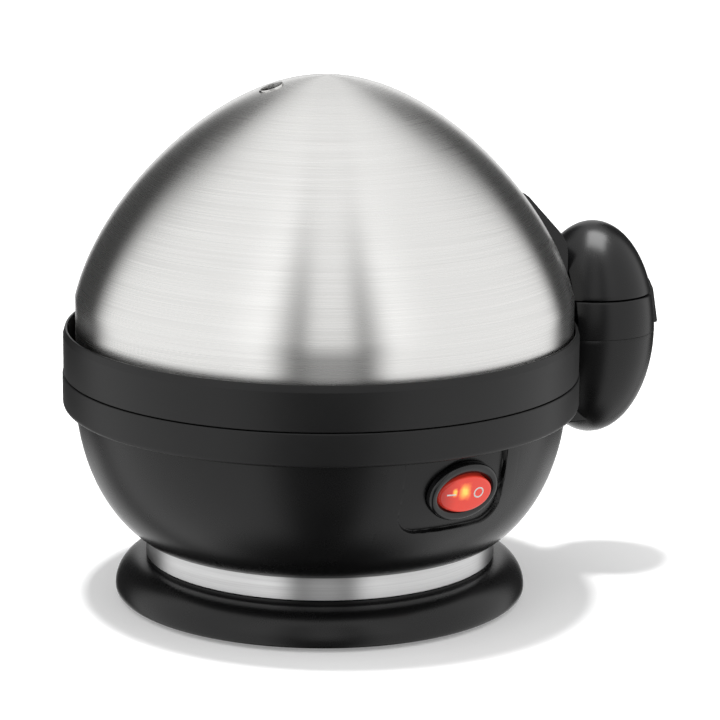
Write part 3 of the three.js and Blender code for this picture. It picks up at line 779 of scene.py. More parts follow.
@dataclass(frozen=True)
class PlainMetal:
    """Rolled, turned or cast metal with a slight mottle.

    Attributes:
        name: The material's name.
        light: The brighter colour.
        dark: The duller colour.
        low: The least roughness.
        high: The greatest roughness.
        mottle: Cells of the mottle per metre.
        relief: The mottle's depth in metres.
    """

    name: str
    light: Corner
    dark: Corner
    low: float
    high: float
    mottle: float = 700.0
    relief: float = 0.006 * MM

    def mix(self) -> Material:
        """Builds the material."""
        recipe = Recipe(self.name)
        cloud = recipe.noise(recipe.mapped((self.mottle,) * 3), detail=5.0, roughness=0.6)
        recipe.mottle(cloud, (self.dark, self.light), (self.low, self.high), self.relief)
        recipe.fix(Metallic=1.0)
        return recipe.material


@dataclass(frozen=True)
class SoftMatter:
    """Rubber, silicone, ceramic or cable skin: no metal, a fine tooth.

    Attributes:
        name: The material's name.
        colour: Its colour.
        paler: Its dusted or worn colour.
        rough: Its middle roughness.
        tooth: Cells of its tooth per metre.
        relief: The tooth's depth in metres.
        spread: How far its roughness strays from the middle one.
    """

    name: str
    colour: Corner
    paler: Corner
    rough: float
    tooth: float = 1500.0
    relief: float = 0.015 * MM
    spread: float = 0.08

    def mix(self) -> Material:
        """Builds the material."""
        recipe = Recipe(self.name)
        cloud = recipe.noise(recipe.mapped((self.tooth,) * 3), detail=4.0, roughness=0.65)
        rough = (self.rough - self.spread, self.rough + self.spread)
        recipe.mottle(cloud, (self.colour, self.paler), rough, self.relief)
        return recipe.material


@dataclass(frozen=True)
class LitLens:
    """Red acrylic over a lamp, whose light shows through it in two upright patches.

    Attributes:
        name: The material's name.
        seat: From the rocker's coordinates, X to the right, Y up and Z outwards, to the cooker's.
        face: The height of its face in those coordinates.
        patches: The middle along X, half the width and half the height of each patch.
        level: The middle of the patches along Y.
        skin: The lens's own colour.
        deep: The same where it is darker.
        ember: The light of its face away from the patches.
        glow: The light of the patches.
        side: The light of its edge, as a share of its face's.
    """

    name: str
    seat: Matrix
    face: float = 2.3 * MM
    patches: tuple[Corner, ...] = (
        (-1.3 * MM, 1.8 * MM, 2.4 * MM),
        (-5.0 * MM, 0.7 * MM, 1.3 * MM),
    )
    level: float = 1.4 * MM
    skin: Corner = (0.45, 0.012, 0.006)
    deep: Corner = (0.35, 0.01, 0.005)
    ember: Corner = (1.0, 0.085, 0.05)
    glow: Corner = (1.0, 0.62, 0.1)
    side: float = 0.3

    def mix(self) -> Material:
        """Builds the material."""
        recipe = Recipe(self.name)
        local = recipe.mapped((1.0, 1.0, 1.0), self.seat.translation, self.seat.to_euler())
        split = recipe.add("ShaderNodeSeparateXYZ")
        recipe.join(local, split.inputs["Vector"])
        x, y, z = (split.outputs[axis] for axis in "XYZ")
        ripple = recipe.noise(recipe.mapped((420.0,) * 3), detail=2.0)
        waver = recipe.span(ripple, -0.25 * MM, 0.25 * MM)
        hot: Socket | None = None
        for middle, half_width, half_height in self.patches:
            shares = []
            for place_at, centre, half in ((x, middle, half_width), (y, self.level, half_height)):
                off = recipe.math("ABSOLUTE", recipe.math("SUBTRACT", place_at, centre), 0.0)
                off = recipe.math("ADD", off, waver)
                shares.append(recipe.span(off, 1.0, 0.0, 0.35 * half, 1.45 * half))
            patch = recipe.math("MULTIPLY", *shares)
            hot = patch if hot is None else recipe.math("MAXIMUM", hot, patch)
        front = recipe.span(z, self.side, 1.0, self.face - 1.6 * MM, self.face - 0.5 * MM)
        strength = recipe.span(hot, 0.5, 1.15, 0.0, 1.0)
        recipe.feed("Emission Color", recipe.blend(hot, self.ember, self.glow))
        recipe.feed("Emission Strength", recipe.math("MULTIPLY", front, strength))
        recipe.feed("Base Color", recipe.blend(ripple, self.skin, self.deep))
        recipe.feed("Roughness", recipe.span(ripple, 0.14, 0.2))
        recipe.fix(IOR=1.49, Coat_Weight=0.3, Coat_Roughness=0.05)
        return recipe.material


@dataclass(frozen=True)
class CoatedPan:
    """A non-stick coat with pale flecks over aluminium.

    Attributes:
        name: The material's name.
        coat: The coat's colour.
        fleck: The flecks' colour.
    """

    name: str
    coat: Corner = (0.075, 0.077, 0.08)
    fleck: Corner = (0.24, 0.24, 0.245)

    def mix(self) -> Material:
        """Builds the material."""
        recipe = Recipe(self.name)
        flecks = recipe.noise(recipe.mapped((1900.0,) * 3), detail=1.0)
        cloud = recipe.noise(recipe.mapped((60.0,) * 3), detail=5.0)
        share = recipe.span(flecks, 0.0, 1.0, 0.62, 0.68)
        recipe.feed("Base Color", recipe.blend(share, self.coat, self.fleck))
        recipe.feed("Roughness", recipe.span(cloud, 0.3, 0.46))
        recipe.feed("Normal", recipe.bump(flecks, 0.01 * MM))
        recipe.fix(Metallic=0.35)
        return recipe.material


class Finish(Enum):
    """Every finish on the cooker, under the name of its slot in the record."""

    DOME = "brushed_steel"
    TRIM = "polished_steel"
    SCREW = "screw_steel"
    ELEMENT = "element_steel"
    MATT = "matt_black"
    SATIN = "satin_black"
    GLOSS = "gloss_black"
    RUBBER = "rubber"
    LENS = "red_lens"
    GLASS = "lamp_glass"
    PAN = "coated_pan"
    ALUMINIUM = "aluminium"
    BRASS = "brass"
    CERAMIC = "ceramic"
    SILICONE = "silicone"
    RED_LEAD = "lead_red"
    BLUE_LEAD = "lead_blue"


def mix_finishes(seat: Matrix) -> dict[Finish, Material]:
    """Builds every material.

    Args:
        seat: The place and turn of the lit rocker.

    Returns:
        The material of each finish.
    """
    recipes = {
        Finish.DOME: BrushedSteel("brushed_steel_dome"),
        Finish.TRIM: BrushedSteel(
            "bright_steel_band", (0.86, 0.86, 0.86), (0.78, 0.78, 0.78), low=0.36, high=0.44
        ),
        Finish.SCREW: PlainMetal(
            "zinc_plated_screw", (0.62, 0.62, 0.6), (0.45, 0.45, 0.44), 0.25, 0.4
        ),
        Finish.ELEMENT: PlainMetal(
            "heater_tube", (0.4, 0.38, 0.36), (0.22, 0.2, 0.19), 0.35, 0.5
        ),
        Finish.MATT: MouldedPlastic(
            "matt_charcoal_band", (0.005, 0.005, 0.0052), (0.007, 0.007, 0.0072), 0.36, 0.42,
            grain=2200.0, depth=0.008 * MM,
        ),
        Finish.SATIN: MouldedPlastic(
            "satin_black_plastic", (0.003, 0.003, 0.0032), (0.0038, 0.0038, 0.004), 0.25, 0.29
        ),
        Finish.GLOSS: MouldedPlastic(
            "gloss_black_plastic", (0.006, 0.006, 0.0065), (0.008, 0.008, 0.0085), 0.14, 0.22,
            grain=900.0, coat=0.3,
        ),
        Finish.RUBBER: SoftMatter("black_rubber", (0.012,) * 3, (0.02,) * 3, 0.75),
        Finish.LENS: LitLens("red_lens", seat),
        Finish.GLASS: SoftMatter("lamp_glass", (0.9, 0.42, 0.12), (0.95, 0.55, 0.2), 0.16, 300.0),
        Finish.PAN: CoatedPan("coated_pan"),
        Finish.ALUMINIUM: PlainMetal(
            "cast_aluminium", (0.62, 0.63, 0.64), (0.5, 0.5, 0.51), 0.38, 0.55
        ),
        Finish.BRASS: PlainMetal("brass", (0.72, 0.52, 0.2), (0.55, 0.38, 0.14), 0.28, 0.42),
        Finish.CERAMIC: SoftMatter("ceramic", (0.72, 0.69, 0.62), (0.8, 0.77, 0.7), 0.55),
        Finish.SILICONE: SoftMatter("silicone", (0.42, 0.41, 0.38), (0.5, 0.49, 0.46), 0.6, 600.0),
        Finish.RED_LEAD: SoftMatter("red_sleeve", (0.25, 0.02, 0.015), (0.33, 0.04, 0.03), 0.5),
        Finish.BLUE_LEAD: SoftMatter("blue_sleeve", (0.03, 0.08, 0.26), (0.05, 0.11, 0.32), 0.5),
    }
    return {finish: recipe.mix() for finish, recipe in recipes.items()}


def wrap(piece: Object, axis: Vector, spring: float, swing: float) -> None:
    """Lays a UV map round an axis: U is the share of a turn and V the way up the surface.

    Args:
        piece: The round piece.
        axis: A point on its axis.
        spring: The height from which the surface leans in.
        swing: The mean radius of the surface above the spring.
    """
    mesh = piece.data
    layer = mesh.uv_layers.new(name=WRAP)
    turns: list[float | None] = []
    ways: list[float] = []
    for vertex in mesh.vertices:
        x, y = vertex.co.x - axis.x, vertex.co.y - axis.y
        radius, rise = math.hypot(x, y), vertex.co.z - spring
        turns.append(math.atan2(y, x) / (2 * math.pi) % 1.0 if radius > 0.05 * MM else None)
        ways.append(swing * math.atan2(rise, radius) if rise > 0 else rise)
    for face in mesh.polygons:
        corners = [mesh.loops[i].vertex_index for i in face.loop_indices]
        known = [turns[v] for v in corners if turns[v] is not None]
        over_seam = max(known) - min(known) > 0.5
        spread = [turn + 1.0 if over_seam and turn < 0.5 else turn for turn in known]
        middle = sum(spread) / len(spread)
        for i, v in zip(face.loop_indices, corners):
            turn = turns[v]
            if turn is None:
                turn = middle
            elif over_seam and turn < 0.5:
                turn += 1.0
            layer.data[i].uv = (turn, ways[v])


def smoothstep(value: float, start: float, end: float) -> float:
    """0 before start, 1 after end, and a smooth rise between."""
    share = min(max((value - start) / (end - start), 0.0), 1.0)
    return share * share * (3 - 2 * share)


# ----------------------------------------------------------------------- sub-assemblies


@dataclass
class Assembly:
    """A group of pieces that share their finishes.

    Attributes:
        finishes: The material of each finish.
    """

    finishes: dict[Finish, Material]

    def hand_over(self, piece: Object, finish: Finish, body: str, *nodes: str) -> Object:
        """Dresses a finished piece and puts it in the frame.

        Args:
            piece: The finished piece.
            finish: Its finish.
            body: The body that it moves with.
            *nodes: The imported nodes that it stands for.

        Returns:
            The same piece.
        """
        if not piece.data.materials:
            piece.data.materials.append(self.finishes[finish])
        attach(piece, body)
        if nodes:
            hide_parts(*nodes)
        LOG.info("%s: %d faces on %s", piece.name, len(piece.data.polygons), body)
        return piece


@dataclass
class Lid(Assembly):
    """The steel dome in its ring, with the fairing and the cap that hinge it.

    Attributes:
        sheet: The dome's thickness.
        gap: What is left between touching pieces.
        spring: The height up to which the dome is upright.
        taper: How much more pointed than an ellipse the dome is.
        taper_squared: The same, for the square of its rise.
        vent_radius: The steam hole's radius.
        vent_offset: The steam hole's distance from the axis.
        vent_azimuth: The steam hole's azimuth in degrees.
        ring_wall: The ring's wall beside the dome.
        chamfer_width: The chamfer on the ring's top, inwards.
        chamfer_height: The chamfer on the ring's top, downwards.
        lip_wall: The wall of the lip under the ring.
        lip_radius: The lip's outer radius.
        rib_count: Ribs inside the ring.
        rib_radius: A rib's radius.
        swing: The mean radius of the dome's skin above the spring.
        drill: How far the drill for the steam hole goes down from the apex.
        rim_wall: The wall of the steam hole's rim.
        rim_depth: How far that rim reaches down the hole.
        fairing_upright: The upright part of the fairing's face.
        fairing_lean: How far its top leans in from its face.
        fairing_shoulder: The rounding over the upright part.
        fairing_crown: The rounding at the top.
        fairing_edge: The rounding along its sides.
    """

    sheet: float = 0.8 * MM
    gap: float = 0.3 * MM
    spring: float = 107.25 * MM
    taper: float = 0.227
    taper_squared: float = 0.023
    vent_radius: float = 4.2 * MM
    vent_offset: float = 18.6 * MM
    vent_azimuth: float = -95.5
    ring_wall: float = 1.5 * MM
    chamfer_width: float = 0.7 * MM
    chamfer_height: float = 2.4 * MM
    lip_wall: float = 2.0 * MM
    lip_radius: float = 86.0 * MM
    rib_count: int = 40
    rib_radius: float = 0.42 * MM
    swing: float = 82.0 * MM
    drill: float = 20.0 * MM
    rim_wall: float = 0.3 * MM
    rim_depth: float = 1.6 * MM
    fairing_upright: float = 25.0 * MM
    fairing_lean: float = 17.5 * MM
    fairing_shoulder: float = 14.0 * MM
    fairing_crown: float = 12.0 * MM
    fairing_edge: float = 1.6 * MM

    def __post_init__(self) -> None:
        """Reads where the dome and the ring stand."""
        self.dome_span = Span.of("dome_shell")
        self.ring_span = Span.of("lid_ring")
        self.shield_span = Span.of("hinge_shield")
        self.hole = polar(self.vent_azimuth, self.vent_offset, 0.0) + AXIS

    def dome_point(self, rise: float, inset: float) -> Point:
        """A point of the dome's skin.

        Args:
            rise: 0 at the spring and 90 at the apex, in degrees.
            inset: How far inside the outer skin it lies.

        Returns:
            Its radius and height.
        """
        s, c = math.sin(math.radians(rise)), math.cos(math.radians(rise))
        pointed = 1 - self.taper * s - self.taper_squared * s * s
        radius = (self.dome_span.radius - inset) * c * pointed
        return radius, self.spring + (self.dome_span.high.z - inset - self.spring) * s

    def dome_side(self, inset: float, step: float) -> list[Point]:
        """The dome's skin from its apex down to the spring.

        Args:
            inset: How far inside the outer skin it lies.
            step: Degrees of rise between points.

        Returns:
            Radius and height of each point.
        """
        count = round(90 / step)
        side = [self.dome_point(90 - i * step, inset) for i in range(1, count + 1)]
        return [(0.0, self.dome_span.high.z - inset), *side]

    def dome(self) -> Object:
        """Spins the dome, pierces its steam hole and wraps its brushing round it."""
        span, sheet = self.dome_span, self.sheet
        upright = self.spring - 4 * sheet
        hem = rounded([
            (span.radius, upright, 0.0),
            (span.radius, span.low.z, 0.3 * MM),
            (span.radius - sheet, span.low.z, 0.3 * MM),
            (span.radius - sheet, upright, 0.0),
        ])
        outline = self.dome_side(0.0, 2.0) + hem + list(reversed(self.dome_side(sheet, 3.0)))
        piece = span.lathe.turn("steel_dome", outline, steps=160)
        lathe, top = Lathe(self.hole.x, self.hole.y), span.high.z
        carve(piece, lathe.rod("vent_drill", self.vent_radius, top - self.drill, top + MM))
        piece = smooth(piece, 30.0)
        wrap(piece, span.middle, self.spring, self.swing)
        return piece

    def vent_lip(self) -> Object:
        """Rolls the thin lip that lines the steam hole."""
        top = self.height_at(self.vent_offset)
        tilt = math.atan2(top - self.height_at(self.vent_offset + MM), MM)
        outer = self.vent_radius - 0.02 * MM
        lip = Lathe(0.0).turn("vent_lip", rounded([
            (outer - self.rim_wall, -self.rim_depth, 0.0),
            (outer - self.rim_wall, -0.12 * MM, 0.1 * MM),
            (outer, 0.03 * MM, 0.1 * MM),
            (outer, -self.rim_depth, 0.0),
        ]), steps=64)
        place(lip, Matrix.Rotation(tilt, 4, "X"))
        place(lip, Matrix.Rotation(math.radians(self.vent_azimuth), 4, "Z"))
        place(lip, Matrix.Translation((self.hole.x, self.hole.y, top)))
        wrap(lip, self.hole, self.spring, self.swing)
        return lip

    def height_at(self, radius: float) -> float:
        """The height of the dome's outside at a radius near its apex."""
        low, high = 0.0, 90.0
        for _ in range(40):
            middle = (low + high) / 2
            outside = self.dome_point(middle, 0.0)[0] > radius
            low, high = (middle, high) if outside else (low, middle)
        return self.dome_point(low, 0.0)[1]

    def ring(self) -> Object:
        """Spins the lid's ring and stands the small ribs inside it."""
        span = self.ring_span
        inner = span.radius - self.ring_wall
        floor = self.dome_span.low.z - self.gap
        seam = COOKER.high.z + self.gap
        lip = self.lip_radius
        piece = span.lathe.turn("lid_band", rounded([
            (span.radius, seam, 0.35 * MM),
            (span.radius, span.high.z - self.chamfer_height, 0.9 * MM),
            (span.radius - self.chamfer_width, span.high.z, 0.35 * MM),
            (inner, span.high.z, 0.3 * MM),
            (inner, floor, 0.3 * MM),
            (lip - self.lip_wall, floor, 0.3 * MM),
            (lip - self.lip_wall, span.low.z, 0.3 * MM),
            (lip, span.low.z, 0.4 * MM),
            (lip, seam, 0.2 * MM),
        ]), steps=192)
        ribs = []
        for i in range(self.rib_count):
            azimuth = 360 * (i + 0.5) / self.rib_count
            foot = polar(azimuth, inner + 0.1 * MM, 0.0) + span.middle
            rib = Lathe(foot.x, foot.y).turn("rib", rounded([
                (0.0, floor, 0.0),
                (self.rib_radius, floor, 0.0),
                (self.rib_radius, span.high.z - MM, 0.3 * MM),
                (0.0, span.high.z - 0.6 * MM, 0.0),
            ]), steps=8)
            ribs.append(rib)
        return gather(piece, *ribs)

    def fairing(self) -> Object:
        """Extrudes the fairing, rounds it and fits it to the dome."""
        span = self.shield_span
        face, top = span.high.x, span.high.z
        inside = span.low.x - 8 * MM
        block_side = rounded([
            (inside, span.low.z, 0.0),
            (face, span.low.z, 0.4 * MM),
            (face, span.low.z + self.fairing_upright, self.fairing_shoulder),
            (face - self.fairing_lean, top - 1.5 * MM, self.fairing_crown),
            (inside, top + 1.5 * MM, 0.0),
        ], steps=10)
        piece = plate("hinge_fairing", block_side, span.high.y - span.low.y)
        soften(piece, self.fairing_edge, 4)
        grown = self.dome_side(-self.gap, 2.5)
        low = self.dome_span.low.z
        cutter = self.dome_span.lathe.turn(
            "dome_cutter", [*grown, (self.dome_span.radius + self.gap, low), (0.0, low)]
        )
        return smooth(carve(piece, cutter), 30.0)

    def build(self) -> None:
        """Makes every piece of the lid."""
        self.hand_over(self.dome(), Finish.DOME, "lid", "dome_shell")
        self.hand_over(self.vent_lip(), Finish.DOME, "lid")
        self.hand_over(self.ring(), Finish.MATT, "lid", "lid_ring")
        self.hand_over(self.fairing(), Finish.SATIN, "lid", "hinge_shield")


@dataclass
class Bowl:
    """The formula of the bowl's side, an arc of an ellipse turned about the axis.

    Attributes:
        core: The radius of the circle that the ellipse stands on.
        swell: The ellipse's reach outwards.
        drop: The ellipse's reach downwards.
        middle: The height of the ellipse's middle.
    """

    core: float = 48.2 * MM
    swell: float = 38.0 * MM
    drop: float = 56.0 * MM
    middle: float = 74.0 * MM

    def radius(self, height: float, inset: float = 0.0) -> float:
        """The bowl's radius at a height, inset from its outer skin."""
        share = (self.middle - height) / self.drop
        return self.core - inset + self.swell * math.sqrt(max(0.0, 1 - share * share))

    def side(self, low: float, high: float, inset: float, steps: int) -> list[Point]:
        """The bowl's skin from one height to another.

        Args:
            low: Where it starts.
            high: Where it ends.
            inset: How far inside the outer skin it lies.
            steps: How many steps it takes.

        Returns:
            Radius and height of each point.
        """
        heights = [low + (high - low) * i / steps for i in range(steps + 1)]
        return [(self.radius(z, inset), z) for z in heights]


@dataclass
class Panel:
    """The flat panel let into the bowl, which carries the switch.

    Attributes:
        bowl: The bowl's formula.
        azimuth: Its azimuth in degrees.
        height: The height of its middle.
        tilt: How far it faces down, in degrees.
        depth: How far it lies inside the bowl's skin.
        middle: Its middle's place to the right of the switch.
        half_width: Half its width.
        foot: Its lower edge, below its middle.
        corner: The rounding of its lower corners.
        edge: The width over which it blends into the bowl.
        least: The least depth of its edge under the bowl's skin.
        margin: How far round it the bowl's skin is drawn finer.
        cuts: Into how many more the faces there are cut.
        play: How far a point of a skin may stray from the formula.
        behind: How far behind its plane the bowl's skins are looked for.
    """

    bowl: Bowl
    azimuth: float = 12.5
    height: float = 55.5 * MM
    tilt: float = 13.4
    depth: float = 2.4 * MM
    middle: float = -2.5 * MM
    half_width: float = 20.5 * MM
    foot: float = 14.6 * MM
    corner: float = 8.0 * MM
    edge: float = 0.7 * MM
    least: float = 1.5 * MM
    margin: float = 6.0 * MM
    cuts: int = 10
    play: float = 0.35 * MM
    behind: float = 9.0 * MM

    def matrix(self) -> Matrix:
        """From panel coordinates, X to the right, Y up and Z outwards, to the cooker's."""
        tilt, turn = math.radians(self.tilt), math.radians(self.azimuth)
        right = Vector((math.cos(turn), math.sin(turn), 0.0))
        out = polar(self.azimuth, math.cos(tilt), -math.sin(tilt))
        up = out.cross(right)
        seat = Matrix((right, up, out)).transposed().to_4x4()
        seat.translation = polar(self.azimuth, self.bowl.radius(self.height), self.height) + AXIS
        return seat

    def outside_by(self, x: float, y: float) -> float:
        """How far a point of the panel's plane lies outside its U-shaped outline."""
        dx = abs(x - self.middle) - (self.half_width - self.corner)
        dy = -y - (self.foot - self.corner)
        return math.hypot(max(dx, 0.0), max(dy, 0.0)) + min(max(dx, dy), 0.0) - self.corner

    def press(self, piece: Object, wall: float, top: float) -> None:
        """Presses the panel into both skins of the bowl.

        Args:
            piece: The bowl.
            wall: The bowl's wall.
            top: The height at which the panel ends under the rim.
        """
        to_cooker = self.matrix()
        to_panel = to_cooker.inverted()
        reach = self.half_width + self.margin
        floor = self.height - self.foot - self.margin

        def skin_of(point: Vector) -> float | None:
            """0 on the outer skin, the wall on the inner one, and nothing elsewhere."""
            if not floor < point.z < top + 0.3 * MM:
                return None
            radius = math.hypot(point.x - AXIS.x, point.y - AXIS.y)
            for inset in (0.0, wall):
                if abs(radius - self.bowl.radius(point.z, inset)) < self.play:
                    return inset
            return None

        def near(point: Vector) -> bool:
            """Whether a point of a skin lies round the panel and close behind its plane."""
            local = to_panel @ point
            return abs(local.x - self.middle) < reach and local.z > -self.behind

        pick(piece)
        bpy.ops.object.mode_set(mode="EDIT")
        bpy.ops.mesh.select_all(action="DESELECT")
        bpy.ops.object.mode_set(mode="OBJECT")
        for face in piece.data.polygons:
            face.select = near(face.center) and skin_of(face.center) is not None
        bpy.ops.object.mode_set(mode="EDIT")
        bpy.ops.mesh.select_mode(type="FACE")
        bpy.ops.mesh.subdivide(number_cuts=self.cuts)
        bpy.ops.mesh.select_mode(type="VERT")
        bpy.ops.object.mode_set(mode="OBJECT")
        for vertex in piece.data.vertices:
            inset = skin_of(vertex.co)
            if inset is None or not near(vertex.co):
                continue
            away = vertex.co - AXIS
            scale = self.bowl.radius(away.z, inset) / math.hypot(away.x, away.y)
            true = Vector((away.x * scale, away.y * scale, away.z)) + AXIS
            local = to_panel @ true
            share = 1 - smoothstep(self.outside_by(local.x, local.y), -self.edge, 0.15 * MM)
            share *= 1 - smoothstep(true.z, top - 0.6 * MM, top)
            local.z += (min(local.z - self.least, -self.depth - inset) - local.z) * share
            vertex.co = to_cooker @ local
        piece.data.update()


@dataclass
class Base(Assembly):
    """The rim, the bowl, the bright band, the foot and its pads, and the cord's sleeve.

    Attributes:
        bowl: The bowl's formula.
        panel: The switch's panel.
        wall: The mouldings' wall.
        gap: What is left between touching pieces.
        lip_radius: The radius inside the rim's upper wall.
        bowl_top: The top of the bowl's edge, under the rim's shelf.
        shelf: The height of the shelf inside the rim.
        shelf_radius: The inner radius of that shelf.
        floor_radius: The radius of the opening in the bowl's floor.
        switch_hole: The width and height of the switch's hole.
        band_sheet: The bright band's thickness.
        sleeve_bore: The radius of the cord's way through its sleeve.
        sleeve_stem: The sleeve's radius between its ribs.
    """

    bowl: Bowl
    panel: Panel
    wall: float = 2.5 * MM
    gap: float = 0.3 * MM
    lip_radius: float = 86.0 * MM
    bowl_top: float = 71.4 * MM
    shelf: float = 74.2 * MM
    shelf_radius: float = 79.0 * MM
    floor_radius: float = 50.0 * MM
    switch_hole: Point = (25.8 * MM, 17.8 * MM)
    band_sheet: float = 1.2 * MM
    sleeve_bore: float = 2.8 * MM
    sleeve_stem: float = 3.6 * MM

    def rim(self) -> Object:
        """Spins the rim with its rounded lower edge and its shelf."""
        radius, low, high = COOKER.radius, COOKER.low.z, COOKER.high.z
        lip = self.lip_radius
        return COOKER.lathe.turn("rim_band", rounded([
            (lip + 0.4 * MM, low, 0.2 * MM),
            (radius, low, 2.4 * MM),
            (radius, high, 0.5 * MM),
            (lip + 1.6 * MM, high, 0.4 * MM),
            (lip + 1.6 * MM, self.shelf, 0.3 * MM),
            (self.shelf_radius, self.shelf, 0.4 * MM),
            (self.shelf_radius, self.bowl_top + self.gap, 0.4 * MM),
            (lip + 0.4 * MM, self.bowl_top + self.gap, 0.2 * MM),
        ], steps=6), steps=192)

    def housing(self) -> Object:
        """Spins the bowl, presses the switch panel into it and cuts the switch's hole."""
        low, edge = Span.of("bowl_housing").low.z, COOKER.low.z
        wall, radius = self.wall, self.bowl.radius
        outline = [
            (self.floor_radius, low),
            (radius(low) - 1.4 * MM, low),
            (radius(low) - 0.5 * MM, low + 0.2 * MM),
            *self.bowl.side(low + 0.7 * MM, edge, 0.0, 30),
            (radius(edge), self.bowl_top),
            (radius(edge, wall), self.bowl_top),
            *reversed(self.bowl.side(low + wall, edge, wall, 30)),
            (self.floor_radius, low + wall),
        ]
        piece = COOKER.lathe.turn("bowl", outline, steps=144)
        self.panel.press(piece, wall, edge)
        ends = [(*self.switch_hole, -14 * MM), (*self.switch_hole, 4 * MM)]
        hole = oval("switch_hole", ends)
        return smooth(carve(piece, place(hole, self.panel.matrix())), 40.0)

    def bright_band(self) -> Object:
        """Spins the steel band round the bowl's neck."""
        span = Span.of("steel_trim_ring")
        inner = span.radius - self.band_sheet
        piece = span.lathe.turn("bright_band", rounded([
            (span.radius, span.low.z, 0.4 * MM),
            (span.radius, span.high.z, 0.4 * MM),
            (inner, span.high.z, 0.2 * MM),
            (inner, span.low.z, 0.2 * MM),
        ]), steps=192)
        wrap(piece, span.middle, span.high.z, span.radius)
        return piece

    def foot(self) -> Object:
        """Spins the flared foot with its neck and its ledge under the bowl."""
        span, band, wall = Span.of("foot_skirt"), Span.of("steel_trim_ring"), self.wall
        neck, edge = band.radius - 0.2 * MM, span.radius
        core = band.radius - 1.5 * MM
        shoulder = band.low.z - 1.4 * MM
        lowest = span.low.z + 1.4 * MM

        def flare(near: float, far: float, low: float, high: float, steps: int) -> list[Point]:
            """A quarter of an ellipse from a neck out to an edge."""
            angles = [0.5 * math.pi * i / steps for i in range(steps + 1)]
            wide, tall = far - near, high - low
            return [(near + wide * math.sin(a), low + tall * math.cos(a)) for a in angles]

        under = flare(core - wall, edge - 2.4 * MM, span.low.z, shoulder - 1.5 * MM, 20)
        return COOKER.lathe.turn("foot", [
            *reversed(under),
            (core - wall, span.high.z - wall),
            (self.floor_radius, span.high.z - wall), (self.floor_radius, span.high.z),
            (core, span.high.z),
            (core, band.low.z - self.gap), (neck, band.low.z - self.gap),
            *flare(neck, edge, lowest, shoulder, 28),
            (edge - 0.1 * MM, span.low.z + 0.5 * MM), (edge - 0.5 * MM, span.low.z),
        ], steps=192)

    def pads(self) -> list[Object]:
        """Turns one rubber pad and copies it to the other places."""
        spans = [Span.of(f"rubber_foot_{i}") for i in (1, 2, 3)]
        first = spans[0]
        radius, top = first.radius, first.high.z
        side = rounded([
            (radius - 1.9 * MM, 0.0, 0.4 * MM), (radius, 0.0, 0.7 * MM), (radius, top, 0.3 * MM),
        ])
        pad = first.lathe.turn("rubber_pad_1", [
            (0.0, 0.5 * MM), (radius - 2.4 * MM, 0.5 * MM), *side[1:-1],
            (radius - 0.3 * MM, top), (0.0, top),
        ], steps=48)
        others = [
            copy_of(pad, f"rubber_pad_{i + 2}", Matrix.Translation(span.middle - first.middle))
            for i, span in enumerate(spans[1:])
        ]
        return [pad, *others]

    def sleeve(self) -> Object:
        """Turns the ribbed sleeve at the back, through which the cord would leave."""
        span = Span.of("cord_gland")
        length = span.high.y - span.low.y
        bore, flange = self.sleeve_bore, span.high.z - span.middle.z
        outline = [(bore, 0.0), (self.sleeve_stem, 0.0), (self.sleeve_stem, length - 3.0 * MM)]
        for back in (3.0, 1.5):
            low, high = length - back * MM, length - back * MM + MM
            outline += rounded([
                (flange - 0.5 * MM, low, 0.0), (flange, low, 0.25 * MM),
                (flange, high, 0.25 * MM), (flange - 0.5 * MM, high, 0.0),
            ])
        outline += [(bore + 0.5 * MM, length), (bore, length - 0.4 * MM)]
        piece = Lathe(0.0).turn("cord_sleeve", outline, steps=48)
        place(piece, Matrix.Rotation(math.radians(-90), 4, "X"))
        return place(piece, Matrix.Translation((span.middle.x, span.low.y, span.middle.z)))

    def build(self) -> None:
        """Makes every piece of the base."""
        self.hand_over(self.rim(), Finish.MATT, "base", "base_rim")
        self.hand_over(self.housing(), Finish.SATIN, "base", "bowl_housing")
        self.hand_over(self.bright_band(), Finish.TRIM, "base", "steel_trim_ring")
        self.hand_over(self.foot(), Finish.SATIN, "base", "foot_skirt")
        for i, pad in enumerate(self.pads()):
            self.hand_over(pad, Finish.RUBBER, "base", f"rubber_foot_{i + 1}")
        self.hand_over(self.sleeve(), Finish.RUBBER, "base", "cord_gland")


